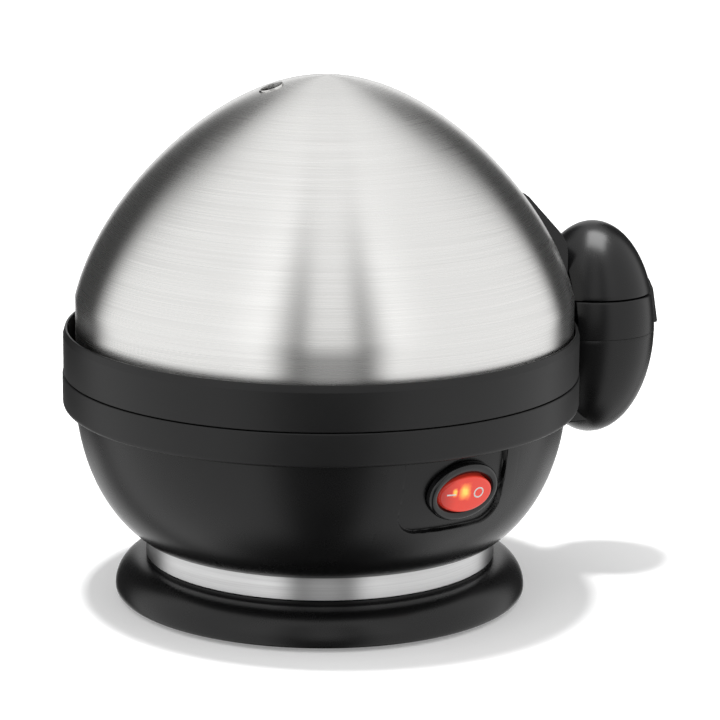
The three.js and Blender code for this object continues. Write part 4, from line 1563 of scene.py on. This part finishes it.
@dataclass
class Handle(Assembly):
    """The egg-shaped hinge handle: a cap on the lid, a collar and a body on the base.

    Attributes:
        bowl: The bowl's formula.
        reach: The egg's axis from the cooker's.
        egg_radius: The egg's greatest radius.
        half_height: Half the egg's height.
        wall: The mouldings' wall.
        gap: What is left between touching pieces.
        barrel: The radius of the tongue's barrel round the pin.
        knuckle: The radius of the collar's rounded shoulder about the pin.
        slot: The radius of the room for the tongue.
        tongue_width: The tongue's width.
        tongue_reach: The tongue's outer face beyond the pin.
        tongue_drop: The tongue's lower edge below the pin.
        tongue_face: The tongue's outer face beyond the pin, under the cap's edge.
        arm_reach: The middle of the arm to the bowl, from the cooker's axis.
        arm_half: Half of the arm's length, width and height.
        screw_height: The height of the screws into the bowl, in the arm's middle.
        clear: What is left round the rim.
    """

    bowl: Bowl
    reach: float = 105.3 * MM
    egg_radius: float = 23.1 * MM
    half_height: float = 39.0 * MM
    wall: float = 2.5 * MM
    gap: float = 0.3 * MM
    barrel: float = 6.4 * MM
    knuckle: float = 6.9 * MM
    slot: float = 10.3 * MM
    tongue_width: float = 15.0 * MM
    tongue_reach: float = 8.5 * MM
    tongue_drop: float = 5.4 * MM
    tongue_face: float = 6.3 * MM
    arm_reach: float = 91.0 * MM
    arm_half: Corner = (11.0 * MM, 12.0 * MM, 6.0 * MM)
    screw_height: float = 61.0 * MM
    clear: float = 0.4 * MM

    def __post_init__(self) -> None:
        """Reads where the handle's three parts and its pin stand."""
        self.cap_span = Span.of("handle_cap_upper")
        self.collar_span = Span.of("hinge_collar")
        self.pin_span = Span.of("hinge_pin")
        self.pin = self.pin_span.middle
        self.pin_radius = (self.pin_span.high.z - self.pin_span.low.z) / 2
        self.x = AXIS.x + self.reach
        self.z = self.cap_span.high.z - self.half_height
        self.cap_bottom = self.collar_span.high.z + 0.4 * MM
        self.lathe = Lathe(self.x)

    def egg_side(self, inset: float, low: float, high: float, steps: int = 40) -> list[Point]:
        """The egg's skin between two heights.

        Args:
            inset: How far inside the outer skin it lies.
            low: The lower height, or the egg's foot if lower still.
            high: The upper height, or the egg's top if higher still.
            steps: How many steps it takes.

        Returns:
            Radius and height of each point, upwards.
        """
        radius, half = self.egg_radius - inset, self.half_height - inset
        shares = (min(max((z - self.z) / half, -1.0), 1.0) for z in (low, high))
        first, last = (math.asin(share) for share in shares)
        angles = [first + (last - first) * i / steps for i in range(steps + 1)]
        side = [(radius * math.cos(a), self.z + half * math.sin(a)) for a in angles]
        return [(0.0 if r < 0.01 * MM else r, z) for r, z in side]

    def drum(self, name: str, radius: float, width: float, steps: int = 64) -> Object:
        """A drum about the hinge pin."""
        deselect()
        bpy.ops.mesh.primitive_cylinder_add(
            vertices=steps, radius=radius, depth=width, location=self.pin,
            rotation=(math.pi / 2, 0.0, 0.0),
        )
        return start(name)

    def slab(self, name: str, low_x: float, high_x: float, low: float, high: float) -> Object:
        """A block across the whole handle between two places along X and two heights."""
        reach = 2 * self.egg_radius
        return block(name, Vector((low_x, -reach, low)), Vector((high_x, reach, high)))

    def rounded_side(
        self, low: float, high: float, round_low: float, round_high: float
    ) -> list[Point]:
        """The egg's outer skin with its ends eased, for a slice of the egg.

        Args:
            low: The slice's lower height.
            high: The slice's upper height.
            round_low: The easing at the lower edge, or 0 at the foot.
            round_high: The easing at the upper edge, or 0 at the top.

        Returns:
            Radius and height of each point, upwards.
        """
        side = self.egg_side(0.0, low + round_low, high - round_high)
        if round_low:
            r = self.egg_side(0.0, low, high)[0][0]
            side = [(r - round_low, low), (r - 0.3 * round_low, low + 0.3 * round_low), *side]
        if round_high:
            r = self.egg_side(0.0, low, high)[-1][0]
            side += [(r - 0.3 * round_high, high - 0.3 * round_high), (r - round_high, high)]
        return side

    def tongue(self) -> Object:
        """The tongue that hangs from the cap round the pin and shows as a flap outside."""
        x, z = self.pin.x, self.pin.z
        root = self.cap_bottom + 4 * MM
        flap = plate("hinge_tongue", rounded([
            (x - self.barrel, root, 0.0),
            (x - self.barrel, z, 0.0),
            (x, z, 0.0),
            (x + 3 * MM, z - self.tongue_drop, 0.6 * MM),
            (x + self.tongue_reach, z - self.tongue_drop, 0.9 * MM),
            (x + self.tongue_face, self.cap_bottom, 0.0),
            (x + 4.4 * MM, root, 0.0),
        ]), self.tongue_width)
        soften(flap, 0.5 * MM, 3, 50.0)
        return fuse(flap, self.drum("barrel", self.barrel, self.tongue_width))

    def cap(self) -> Object:
        """Spins the cap, walls it towards the dome and gives it its tongue."""
        face, bottom, top = self.cap_span.low.x, self.cap_bottom, self.cap_span.high.z
        outside = self.rounded_side(bottom, top, 0.6 * MM, 0.0)
        inside = self.egg_side(self.wall, bottom, top)
        piece = self.lathe.turn("handle_cap", [*reversed(outside), *inside], steps=96)
        far, under, over = 60 * MM, bottom - 5 * MM, top + 5 * MM
        carve(piece, self.slab("cap_cut", face - far, face, under, over))
        core = self.egg_side(0.15 * MM, bottom + 0.02 * MM, top)
        wall = self.lathe.turn("cap_wall", [(0.0, bottom + 0.02 * MM), *core], steps=96)
        carve(
            wall,
            self.slab("wall_cut", face - far, face + 0.02 * MM, under, over),
            self.slab("wall_back", face + self.wall, self.x + far, under, over),
        )
        fuse(piece, wall, self.tongue())
        carve(piece, self.drum("bore", self.pin_radius + self.gap, 2 * self.tongue_width))
        return smooth(piece, 32.0)

    def collar(self) -> Object:
        """Spins the collar and cuts its shoulder, slot and bore."""
        span, x, z = self.collar_span, self.pin.x, self.pin.z
        side = self.rounded_side(span.low.z, span.high.z, 0.15 * MM, 0.6 * MM)
        outline = [(0.0, span.low.z), *side, (0.0, span.high.z)]
        piece = self.lathe.turn("handle_collar", outline, steps=96)
        width = self.tongue_width + 2 * self.gap
        shoulder = self.slab("shoulder", x, x + 12 * MM, z, z + 10 * MM)
        carve(shoulder, self.drum("knuckle", self.knuckle, 4 * self.egg_radius, 96))
        mouth_x = x - self.slot
        mouth = block(
            "mouth", Vector((mouth_x, -width / 2, span.high.z - 4 * MM)),
            Vector((mouth_x + 12 * MM, width / 2, span.high.z + 4 * MM)),
        )
        length = self.pin_span.high.y - self.pin_span.low.y + MM
        bore = self.drum("bore", self.pin_radius + self.gap, length, 32)
        far, low, high = 60 * MM, span.low.z - MM, span.high.z + MM
        face = self.slab("face", span.low.x - far, span.low.x, low, high)
        carve(piece, face, shoulder, self.drum("slot", self.slot, width, 72), mouth, bore)
        return smooth(piece, 32.0)

    def body(self) -> Object:
        """Spins the body, hollows it, fits it to the cooker and adds its arm."""
        low, high = self.z - self.half_height, self.collar_span.low.z - 0.06 * MM
        clear = COOKER.radius + self.clear
        side = self.rounded_side(low, high, 0.0, 0.15 * MM)
        piece = self.lathe.turn("handle_body", [*side, (0.0, high)], steps=96)
        inside = self.egg_side(self.wall, low, high)
        hollow = self.lathe.turn("hollow", [
            *inside, (self.egg_radius - self.wall, high + MM), (0.0, high + MM),
        ], steps=96)
        inner = AXIS.x + clear + self.wall
        carve(hollow, self.slab("hollow_cut", self.x - 60 * MM, inner, low - MM, high + 2 * MM))
        round_cut = COOKER.lathe.rod("round_cut", clear, low - MM, high + MM, 192)
        carve(piece, hollow, round_cut)
        middle = Vector((AXIS.x + self.arm_reach, 0.0, self.screw_height))
        half = Vector(self.arm_half)
        arm = block("arm", middle - half, middle + half)
        soften(arm, 1.2 * MM, 3)
        foot, head = 25 * MM, 70 * MM
        bowl_side = self.bowl.side(foot, head, -self.gap, 40)
        bowl_cut = COOKER.lathe.turn("bowl_cut", [(0.0, foot), *bowl_side, (0.0, head)], steps=192)
        slot = self.drum("slot", self.slot, self.tongue_width + 2 * self.gap, 72)
        fuse(piece, arm)
        carve(piece, bowl_cut, slot)
        return smooth(piece, 32.0)

    def hinge_rod(self) -> Object:
        """Turns the hinge pin with its chamfered ends."""
        span, radius = self.pin_span, self.pin_radius
        half = (span.high.y - span.low.y) / 2
        piece = Lathe(0.0).turn("hinge_rod", rounded([
            (0.0, -half, 0.0), (radius, -half, 0.5 * MM),
            (radius, half, 0.5 * MM), (0.0, half, 0.0),
        ]), steps=40)
        place(piece, Matrix.Rotation(math.pi / 2, 4, "X"))
        return place(piece, Matrix.Translation(self.pin))

    def build(self) -> None:
        """Makes every piece of the handle."""
        self.hand_over(self.cap(), Finish.SATIN, "lid", "handle_cap_upper")
        self.hand_over(self.collar(), Finish.SATIN, "base", "hinge_collar")
        self.hand_over(self.body(), Finish.SATIN, "base", "handle_body_lower")
        self.hand_over(self.hinge_rod(), Finish.SCREW, "base", "hinge_pin")


@dataclass
class RockerSwitch(Assembly):
    """The oval switch: a bezel with its body, and a lit rocker with its two marks.

    Attributes:
        panel: The panel that it is snapped into.
        body_width: The body's width behind the bezel.
        body_height: The body's height behind the bezel.
        body_depth: How far the body reaches behind the bowl's skin.
        bezel_width: The bezel's width.
        bezel_height: The bezel's height.
        face: The bezel's face above the panel's datum.
        well_wall: The body's wall round the rocker.
        rocker_width: The rocker's width.
        rocker_height: The rocker's height.
        front: The rocker's face above the datum.
        crown: The radius of the rocker's crown.
        tilt: How far the rocker is tipped, in degrees.
        pivot: The rocker's axis below the datum.
        bezel_bend: The rounding of the bezel's rim.
        rocker_bend: The rounding of the rocker's rim.
        rocker_depth: How far the rocker reaches below the datum.
        ring_at: The middle of the ring mark on the rocker.
        ring_radius: The ring mark's radius.
        stroke: Half the width of the ring mark's line.
        bar_low: The bar mark's lowest corner on the rocker.
        bar_high: The bar mark's highest corner on the rocker.
        ink: The marks' material.
    """

    panel: Panel
    body_width: float = 25.0 * MM
    body_height: float = 17.0 * MM
    body_depth: float = 18.0 * MM
    bezel_width: float = 28.0 * MM
    bezel_height: float = 21.0 * MM
    face: float = 0.8 * MM
    well_wall: float = 1.6 * MM
    rocker_width: float = 20.8 * MM
    rocker_height: float = 13.0 * MM
    front: float = 2.3 * MM
    crown: float = 60.0 * MM
    tilt: float = 6.0
    pivot: float = 3.5 * MM
    bezel_bend: float = 1.5 * MM
    rocker_bend: float = 1.1 * MM
    rocker_depth: float = 7.0 * MM
    ring_at: Point = (4.7 * MM, 0.5 * MM)
    ring_radius: float = 1.7 * MM
    stroke: float = 0.27 * MM
    bar_low: Point = (-7.4 * MM, 0.3 * MM)
    bar_high: Point = (-4.1 * MM, 0.85 * MM)
    ink: SoftMatter = SoftMatter("white_mark_ink", (0.9, 0.88, 0.85), (0.82, 0.8, 0.77), 0.45)

    def bezel(self) -> Object:
        """Stacks the bezel, its body and the well for the rocker out of ovals."""
        bw, bh, w, h = self.bezel_width, self.bezel_height, self.body_width, self.body_height
        face, back, seat = self.face, -self.body_depth, -self.panel.depth + 0.3 * MM
        rings = [(w - MM, h - MM, back), (w, h, back + 0.5 * MM), (w, h, seat)]
        rings += [(bw - 0.4 * MM, bh - 0.4 * MM, seat), (bw, bh, seat + 0.2 * MM)]
        rings += eased_rim(bw, bh, face, self.bezel_bend)
        inner_w, inner_h = w - 2 * self.well_wall, h - 2 * self.well_wall
        rings += [
            (inner_w + 1.6 * MM, inner_h + 1.6 * MM, face - 0.1 * MM),
            (inner_w + 0.6 * MM, inner_h + 0.6 * MM, face - 0.5 * MM),
            (inner_w, inner_h, face - 1.2 * MM),
            (inner_w, inner_h, back + 2 * MM),
        ]
        return place(oval("switch_bezel", rings), self.panel.matrix())

    def rocker_matrix(self) -> Matrix:
        """From the level rocker's coordinates to the cooker's."""
        tip = Matrix.Translation((0.0, 0.0, -self.pivot))
        tip = tip @ Matrix.Rotation(math.radians(-self.tilt), 4, "Y") @ tip.inverted()
        return self.panel.matrix() @ tip

    def crowned(self, piece: Object, above: float) -> Object:
        """Bends a piece's top along the rocker's crown.

        Args:
            piece: A piece drawn on a flat rocker.
            above: The height from which its points are moved.

        Returns:
            The same piece.
        """
        for vertex in piece.data.vertices:
            if vertex.co.z > above:
                vertex.co.z -= vertex.co.x ** 2 / (2 * self.crown)
        piece.data.update()
        return piece

    def lens(self) -> Object:
        """Stacks the rocker's hollow lens out of ovals and crowns it."""
        w, h, front, skin = self.rocker_width, self.rocker_height, self.front, 4 * MM
        foot = -self.rocker_depth
        rings = [(w - skin, h - skin, -2 * MM), (w - skin, h - skin, foot)]
        rings += [(w, h, foot), (w, h, 0.0)]
        rings += eased_rim(w, h, front, self.rocker_bend)
        top_w, top_h = rings[-1][:2]
        shares = (0.86, 0.7, 0.54, 0.38, 0.22, 0.08)
        rings += [(top_w * share, top_h * share, front) for share in shares]
        piece = self.crowned(oval("rocker_lens", rings), 0.1 * MM)
        return place(smooth(piece, 50.0), self.rocker_matrix())

    def marks(self) -> Object:
        """Raises the plain bar and the plain ring that stand for on and off."""
        deselect()
        bpy.ops.mesh.primitive_torus_add(
            major_radius=self.ring_radius, minor_radius=self.stroke,
            major_segments=64, minor_segments=12, location=(*self.ring_at, self.front),
        )
        ring = start("rocker_marks")
        low = Vector((*self.bar_low, self.front - 0.3 * MM))
        bar = block("bar", low, Vector((*self.bar_high, self.front + 0.12 * MM)))
        soften(bar, 0.12 * MM, 3)
        for vertex in ring.data.vertices:
            vertex.co.z = self.front + (vertex.co.z - self.front) * 0.4
        return place(self.crowned(gather(ring, bar), -MM), self.rocker_matrix())

    def build(self) -> None:
        """Makes every piece of the switch."""
        ink = self.ink.mix()
        self.hand_over(self.bezel(), Finish.GLOSS, "base", "switch_housing")
        self.hand_over(self.lens(), Finish.LENS, "rocker", "switch_rocker")
        marks = self.marks()
        marks.data.materials.append(ink)
        self.hand_over(smooth(marks), Finish.LENS, "rocker")


@dataclass
class Chamber(Assembly):
    """What the lid covers: the egg tray, the water pan and its seal.

    Attributes:
        hole: The radius of an egg's hole.
        pitch: The radius on which the outer eggs stand.
        outer_eggs: The eggs round the middle one.
        tray_sheet: The tray's thickness.
        tray_wall: The height of the tray's wall.
        grip_radius: The distance of the finger loops from the axis.
        grip_depth: The finger loops' thickness.
        grip_outer: The outer radius of a finger loop.
        grip_inner: The inner radius of a finger loop.
        grip_neck: The height at which a finger loop starts to bend.
        dip: The easing at the top of an egg's hole.
        pan_sheet: The pan's thickness.
        pan_flat: The radius of the pan's flat floor.
        pan_step: The radius at which its floor has risen to its side.
        pan_rise: How far it has risen there.
        pan_side: The radius at which its side meets its flange.
        seal_width: The seal's width.
    """

    hole: float = 18.0 * MM
    pitch: float = 50.0 * MM
    outer_eggs: int = 6
    tray_sheet: float = 1.6 * MM
    tray_wall: float = 4.2 * MM
    grip_radius: float = 73.5 * MM
    grip_depth: float = 1.8 * MM
    grip_outer: float = 9.0 * MM
    grip_inner: float = 6.0 * MM
    grip_neck: float = 5.0 * MM
    dip: float = 0.9 * MM
    pan_sheet: float = 1.2 * MM
    pan_flat: float = 56.0 * MM
    pan_step: float = 63.0 * MM
    pan_rise: float = 3.6 * MM
    pan_side: float = 77.4 * MM
    seal_width: float = 3.0 * MM

    def grip(self, name: str, turn: float, foot: float) -> Object:
        """A finger loop of the tray.

        Args:
            name: The loop's name.
            turn: Its azimuth in degrees.
            foot: The height of its foot.

        Returns:
            The closed loop.
        """
        neck, outer, inner = self.grip_neck, self.grip_outer, self.grip_inner
        arc = [math.pi * i / 32 for i in range(33)]
        outline = [(outer, 0.0)]
        outline += [(outer * math.cos(a), neck + outer * math.sin(a)) for a in arc]
        outline += [(-outer, 0.0), (-inner, 0.0)]
        outline += [(inner * math.cos(a), neck + inner * math.sin(a)) for a in reversed(arc)]
        outline += [(inner, 0.0)]
        loop = plate(name, outline, self.grip_depth)
        soften(loop, 0.45 * MM, 3, 40.0)
        place(loop, Matrix.Translation((0.0, -self.grip_radius - self.grip_depth / 2, foot)))
        place(loop, Matrix.Rotation(math.radians(turn), 4, "Z"))
        return place(loop, Matrix.Translation(AXIS))

    def tray(self) -> Object:
        """Spins the tray, punches its seven holes with eased edges and adds its loops."""
        span, sheet = Span.of("egg_tray"), self.tray_sheet
        low, radius = span.low.z, span.radius
        face, edge, inner = low + sheet, low + self.tray_wall, radius - sheet
        piece = COOKER.lathe.turn("tray", rounded([
            (0.0, low, 0.0), (radius, low, 0.7 * MM), (radius, edge, 0.5 * MM),
            (inner, edge, 0.5 * MM), (inner, face, 0.9 * MM), (0.0, face, 0.0),
        ]), steps=144)
        share = 360 / self.outer_eggs
        outer = [polar(share * (i + 0.5), self.pitch, 0.0) for i in range(self.outer_eggs)]
        hole, dip = self.hole, self.dip
        for middle in (Vector(), *outer):
            at = middle + AXIS
            punch = Lathe(at.x, at.y).turn("punch", [
                (0.0, low - MM), (hole + 0.5 * MM, low - MM), (hole + 0.5 * MM, low - 0.01 * MM),
                (hole, low + 0.4 * MM), (hole, face - dip), (hole + 0.35 * dip, face - 0.35 * dip),
                (hole + dip, face + 0.01 * MM), (hole + dip, face + MM), (0.0, face + MM),
            ], steps=72)
            carve(piece, punch)
        loops = [self.grip(f"tray_loop_{turn}", turn, face - 0.5 * MM) for turn in (0, 180)]
        return smooth(gather(smooth(piece, 30.0), *loops), 32.0)

    def pan(self) -> Object:
        """Spins the shallow water pan with its soft bends."""
        span, sheet = Span.of("water_pan"), self.pan_sheet
        low, flange, rise = span.low.z, span.high.z - sheet, self.pan_rise
        flat, step, side, nearer = self.pan_flat, self.pan_step, self.pan_side, 0.4 * MM
        outline = rounded([
            (0.0, low, 0.0), (flat, low, 3 * MM), (step, low + rise, 3 * MM),
            (side, flange, 2 * MM), (span.radius, flange, 0.3 * MM),
            (span.radius, flange + sheet, 0.3 * MM),
            (side - nearer, flange + sheet, 2 * MM), (step - nearer, low + rise + sheet, 3 * MM),
            (flat - nearer, low + sheet, 3 * MM), (0.0, low + sheet, 0.0),
        ], steps=6)
        return COOKER.lathe.turn("pan", outline, steps=144)

    def seal(self) -> Object:
        """Spins the pan's seal with its rounded edges."""
        span = Span.of("pan_seal")
        inner, outer = span.radius - self.seal_width, span.radius
        low, high = span.low.z, span.high.z
        corners = ((inner, low), (outer, low), (outer, high), (inner, high))
        outline = rounded([(*corner, 0.25 * MM) for corner in corners])
        return COOKER.lathe.turn("seal", outline, steps=96)

    def build(self) -> None:
        """Makes every piece under the lid."""
        self.hand_over(self.tray(), Finish.GLOSS, "tray", "egg_tray")
        self.hand_over(self.pan(), Finish.PAN, "base", "water_pan")
        self.hand_over(self.seal(), Finish.SILICONE, "base", "pan_seal")


def dress_packed(finishes: dict[Finish, Material]) -> None:
    """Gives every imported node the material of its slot.

    Args:
        finishes: The material of each finish.
    """
    for subpart in frame["record"]["subparts"]:
        for packed_slot in frame["nodes"][subpart["node"]].material_slots:
            packed_slot.material = finishes[Finish(subpart["material_slot"])]


@dataclass(frozen=True)
class Glow:
    """An upright stretch of bright wall in the room round the cooker.

    Attributes:
        azimuth: Its middle in degrees to the right of the camera, seen from the cooker.
        core: Half the angle over which it is at its full light.
        reach: Half the angle at which it has faded out.
        light: Its radiance.
        low: The height at which it starts, from -1 straight below to 1 straight above.
        high: The height at which it ends.
    """

    azimuth: float
    core: float
    reach: float
    light: float
    low: float = -2.0
    high: float = 2.0


def facing(spot: Vector, aim: Vector) -> Matrix:
    """The place and turn of a camera or a light.

    Args:
        spot: Where it stands.
        aim: What it points at.

    Returns:
        Its matrix.
    """
    turn = (aim - spot).to_track_quat("-Z", "Y").to_matrix().to_4x4()
    return Matrix.Translation(spot) @ turn


@dataclass
class Studio:
    """The floor, the backdrop, the lights and the camera.

    Attributes:
        distance: From the camera to the cooker's axis.
        elevation: The camera's elevation in degrees.
        azimuth: The camera's azimuth in degrees, from -Y towards +X.
        target_height: The height on the axis that the distance is measured to.
        aim_right: How far to the right of the axis the camera looks.
        aim_down: How far below the target height it looks.
        lens: The focal length in millimetres, on a sensor 36 mm wide.
        roll: The camera's roll in degrees.
        walls: The bright stretches of the room.
        dim: The radiance of the rest of the room.
        fade: The height over which a wall starts or ends.
        ceiling: The heights between which the bright ceiling comes up.
        overhead: The ceiling's radiance.
        floor_radius: The floor's radius.
        floor_glow: How much light the floor gives off itself.
    """

    distance: float = 1.082
    elevation: float = 12.66
    azimuth: float = -22.0
    target_height: float = 0.1
    aim_right: float = 0.01355
    aim_down: float = 0.0160
    lens: float = 154.7
    roll: float = 0.6
    walls: tuple[Glow, ...] = (
        Glow(-72.0, 40.0, 60.0, 0.92, -0.98),
        Glow(78.0, 44.0, 60.0, 0.9, -0.98),
        Glow(3.0, 5.0, 15.0, 0.6, -0.12),
        Glow(0.0, 20.0, 60.0, 0.2, 0.1),
        Glow(0.0, 14.0, 46.0, 0.1, -0.8),
        Glow(180.0, 25.0, 56.0, 0.8, -0.98, -0.25),
        Glow(180.0, 8.0, 20.0, 0.8),
    )
    dim: float = 0.05
    fade: float = 0.15
    ceiling: Point = (0.58, 0.9)
    overhead: float = 1.0
    floor_radius: float = 8.0
    floor_glow: float = 0.22

    def camera(self) -> None:
        """Stands the camera in front of the cooker and a little to its left."""
        elevation, azimuth = math.radians(self.elevation), math.radians(self.azimuth)
        level, rise = math.cos(elevation), math.sin(elevation)
        height = self.target_height + self.distance * rise
        spot = AXIS + polar(self.azimuth, self.distance * level, height)
        right = Vector((math.cos(azimuth), math.sin(azimuth), 0.0))
        aim = AXIS + Vector((0.0, 0.0, self.target_height)) + right * self.aim_right
        aim.z -= self.aim_down / level
        data = bpy.data.cameras.new("camera")
        data.lens = self.lens
        data.sensor_width = 36.0
        data.clip_start, data.clip_end = 0.05, 50.0
        camera = bpy.data.objects.new("camera", data)
        bpy.context.scene.collection.objects.link(camera)
        roll = Matrix.Rotation(math.radians(self.roll), 4, "Z")
        camera.matrix_world = facing(spot, aim) @ roll
        bpy.context.scene.camera = camera

    def hang(
        self, name: str, azimuth: float, reach: float, height: float, size: Point, power: float
    ) -> Object:
        """Hangs a rectangular light that faces the cooker.

        Args:
            name: Its name.
            azimuth: Degrees to the right of the camera, seen from the cooker.
            reach: Its distance from the axis.
            height: The height of its middle.
            size: Its width and height.
            power: Its power in watts.

        Returns:
            The light.
        """
        data = bpy.data.lights.new(name, "AREA")
        data.shape = "RECTANGLE"
        data.size, data.size_y = size
        data.energy = power
        light = bpy.data.objects.new(name, data)
        bpy.context.scene.collection.objects.link(light)
        spot = AXIS + polar(self.azimuth + azimuth, reach, height)
        light.matrix_world = facing(spot, AXIS + Vector((0.0, 0.0, self.target_height)))
        light.visible_camera = False
        return light

    def light_only(self, lamp: Object, *names: str) -> None:
        """Lets a lamp light nothing but the named objects."""
        lit = bpy.data.collections.new(f"lit_by_{lamp.name}")
        for name in names:
            lit.objects.link(bpy.data.objects[name])
        lamp.light_linking.receiver_collection = lit

    def lights(self) -> None:
        """Hangs a lamp high over the floor and a small softbox over the hinge handle."""
        lamp = self.hang("floor_lamp", -96.0, 0.6, 7.0, (0.7, 0.7), 430.0)
        softbox = self.hang("handle_softbox", 80.0, 0.2, 1.0, (0.6, 0.6), 10.0)
        self.light_only(lamp, "studio_floor")
        self.light_only(softbox, "handle_cap")

    def world(self) -> None:
        """Paints the room's walls and ceiling as soft upright stretches of light."""
        world = bpy.data.worlds.new("studio")
        bpy.context.scene.world = world
        world.use_nodes = True
        tree = world.node_tree
        background = tree.nodes["Background"]

        def step(kind: str, *sources: Socket | float | Vector, **settings: object) -> Node:
            """Adds a node and feeds its first inputs."""
            node = tree.nodes.new(kind)
            for key, value in settings.items():
                setattr(node, key, value)
            for socket, source in zip(node.inputs, sources):
                if isinstance(source, bpy.types.NodeSocket):
                    tree.links.new(source, socket)
                else:
                    socket.default_value = source
            return node

        toward = step("ShaderNodeTexCoord").outputs["Generated"]
        level_only = Vector((1.0, 1.0, 0.0))
        flat = step("ShaderNodeVectorMath", toward, level_only, operation="MULTIPLY").outputs[0]
        level = step("ShaderNodeVectorMath", flat, operation="NORMALIZE").outputs[0]
        height = step("ShaderNodeSeparateXYZ", toward).outputs["Z"]

        def rise(value: Socket, start_at: float, full: float, light: float) -> Socket:
            """A soft rise from no light at one value to full light at another."""
            ends = (start_at, full, 0.0, light)
            ramp = step("ShaderNodeMapRange", value, *ends, interpolation_type="SMOOTHSTEP")
            return ramp.outputs["Result"]

        light: Socket | float = self.dim
        for wall in self.walls:
            middle = polar(self.azimuth + wall.azimuth, 1.0, 0.0)
            share = step("ShaderNodeVectorMath", level, middle, operation="DOT_PRODUCT")
            start_at, full = (math.cos(math.radians(angle)) for angle in (wall.reach, wall.core))
            glow = rise(share.outputs["Value"], start_at, full, wall.light)
            for edge, inward in ((wall.low, self.fade), (wall.high, -self.fade)):
                if abs(edge) <= 1.0:
                    ramp = rise(height, edge, edge + inward, 1.0)
                    glow = step("ShaderNodeMath", glow, ramp, operation="MULTIPLY").outputs[0]
            light = step("ShaderNodeMath", glow, light, operation="ADD").outputs[0]
        above = rise(height, *self.ceiling, self.overhead)
        brighter = step("ShaderNodeMath", light, above, operation="MAXIMUM").outputs[0]
        tree.links.new(brighter, background.inputs["Strength"])
        background.inputs["Color"].default_value = WHITE

    def stage(self) -> None:
        """Lays the plain white floor and stands a plain white backdrop round it."""
        deselect()
        bpy.ops.mesh.primitive_circle_add(vertices=64, radius=self.floor_radius, fill_type="NGON")
        ground = start("studio_floor")
        paper = Recipe("white_floor")
        paper.fix(
            Base_Color=(0.85, 0.85, 0.85, 1.0), Roughness=1.0, Specular_IOR_Level=0.0,
            Emission_Color=WHITE, Emission_Strength=self.floor_glow,
        )
        ground.data.materials.append(paper.material)
        ground.visible_glossy = ground.visible_diffuse = False
        deselect()
        radius = self.floor_radius - 0.1
        bpy.ops.mesh.primitive_uv_sphere_add(segments=48, ring_count=24, radius=radius)
        backdrop = start("studio_backdrop")
        glow = Recipe("white_backdrop")
        glow.fix(
            Base_Color=(0.0, 0.0, 0.0, 1.0), Specular_IOR_Level=0.0,
            Emission_Color=WHITE, Emission_Strength=1.0,
        )
        backdrop.data.materials.append(glow.material)
        backdrop.visible_glossy = backdrop.visible_diffuse = backdrop.visible_shadow = False
        backdrop.visible_transmission = False

    def build(self) -> None:
        """Sets the camera, the floor and the room up."""
        self.camera()
        self.stage()
        self.world()
        bpy.context.scene.view_settings.view_transform = "Standard"


def main() -> None:
    logging.basicConfig(level=logging.INFO, format="%(name)s %(message)s")
    studio = Studio()
    studio.build()
    bowl = Bowl()
    panel = Panel(bowl)
    finishes = mix_finishes(panel.matrix())
    dress_packed(finishes)
    Lid(finishes).build()
    Base(finishes, bowl, panel).build()
    Handle(finishes, bowl).build()
    RockerSwitch(finishes, panel).build()
    Chamber(finishes).build()
    studio.lights()


if __name__ == "__main__":
    main()
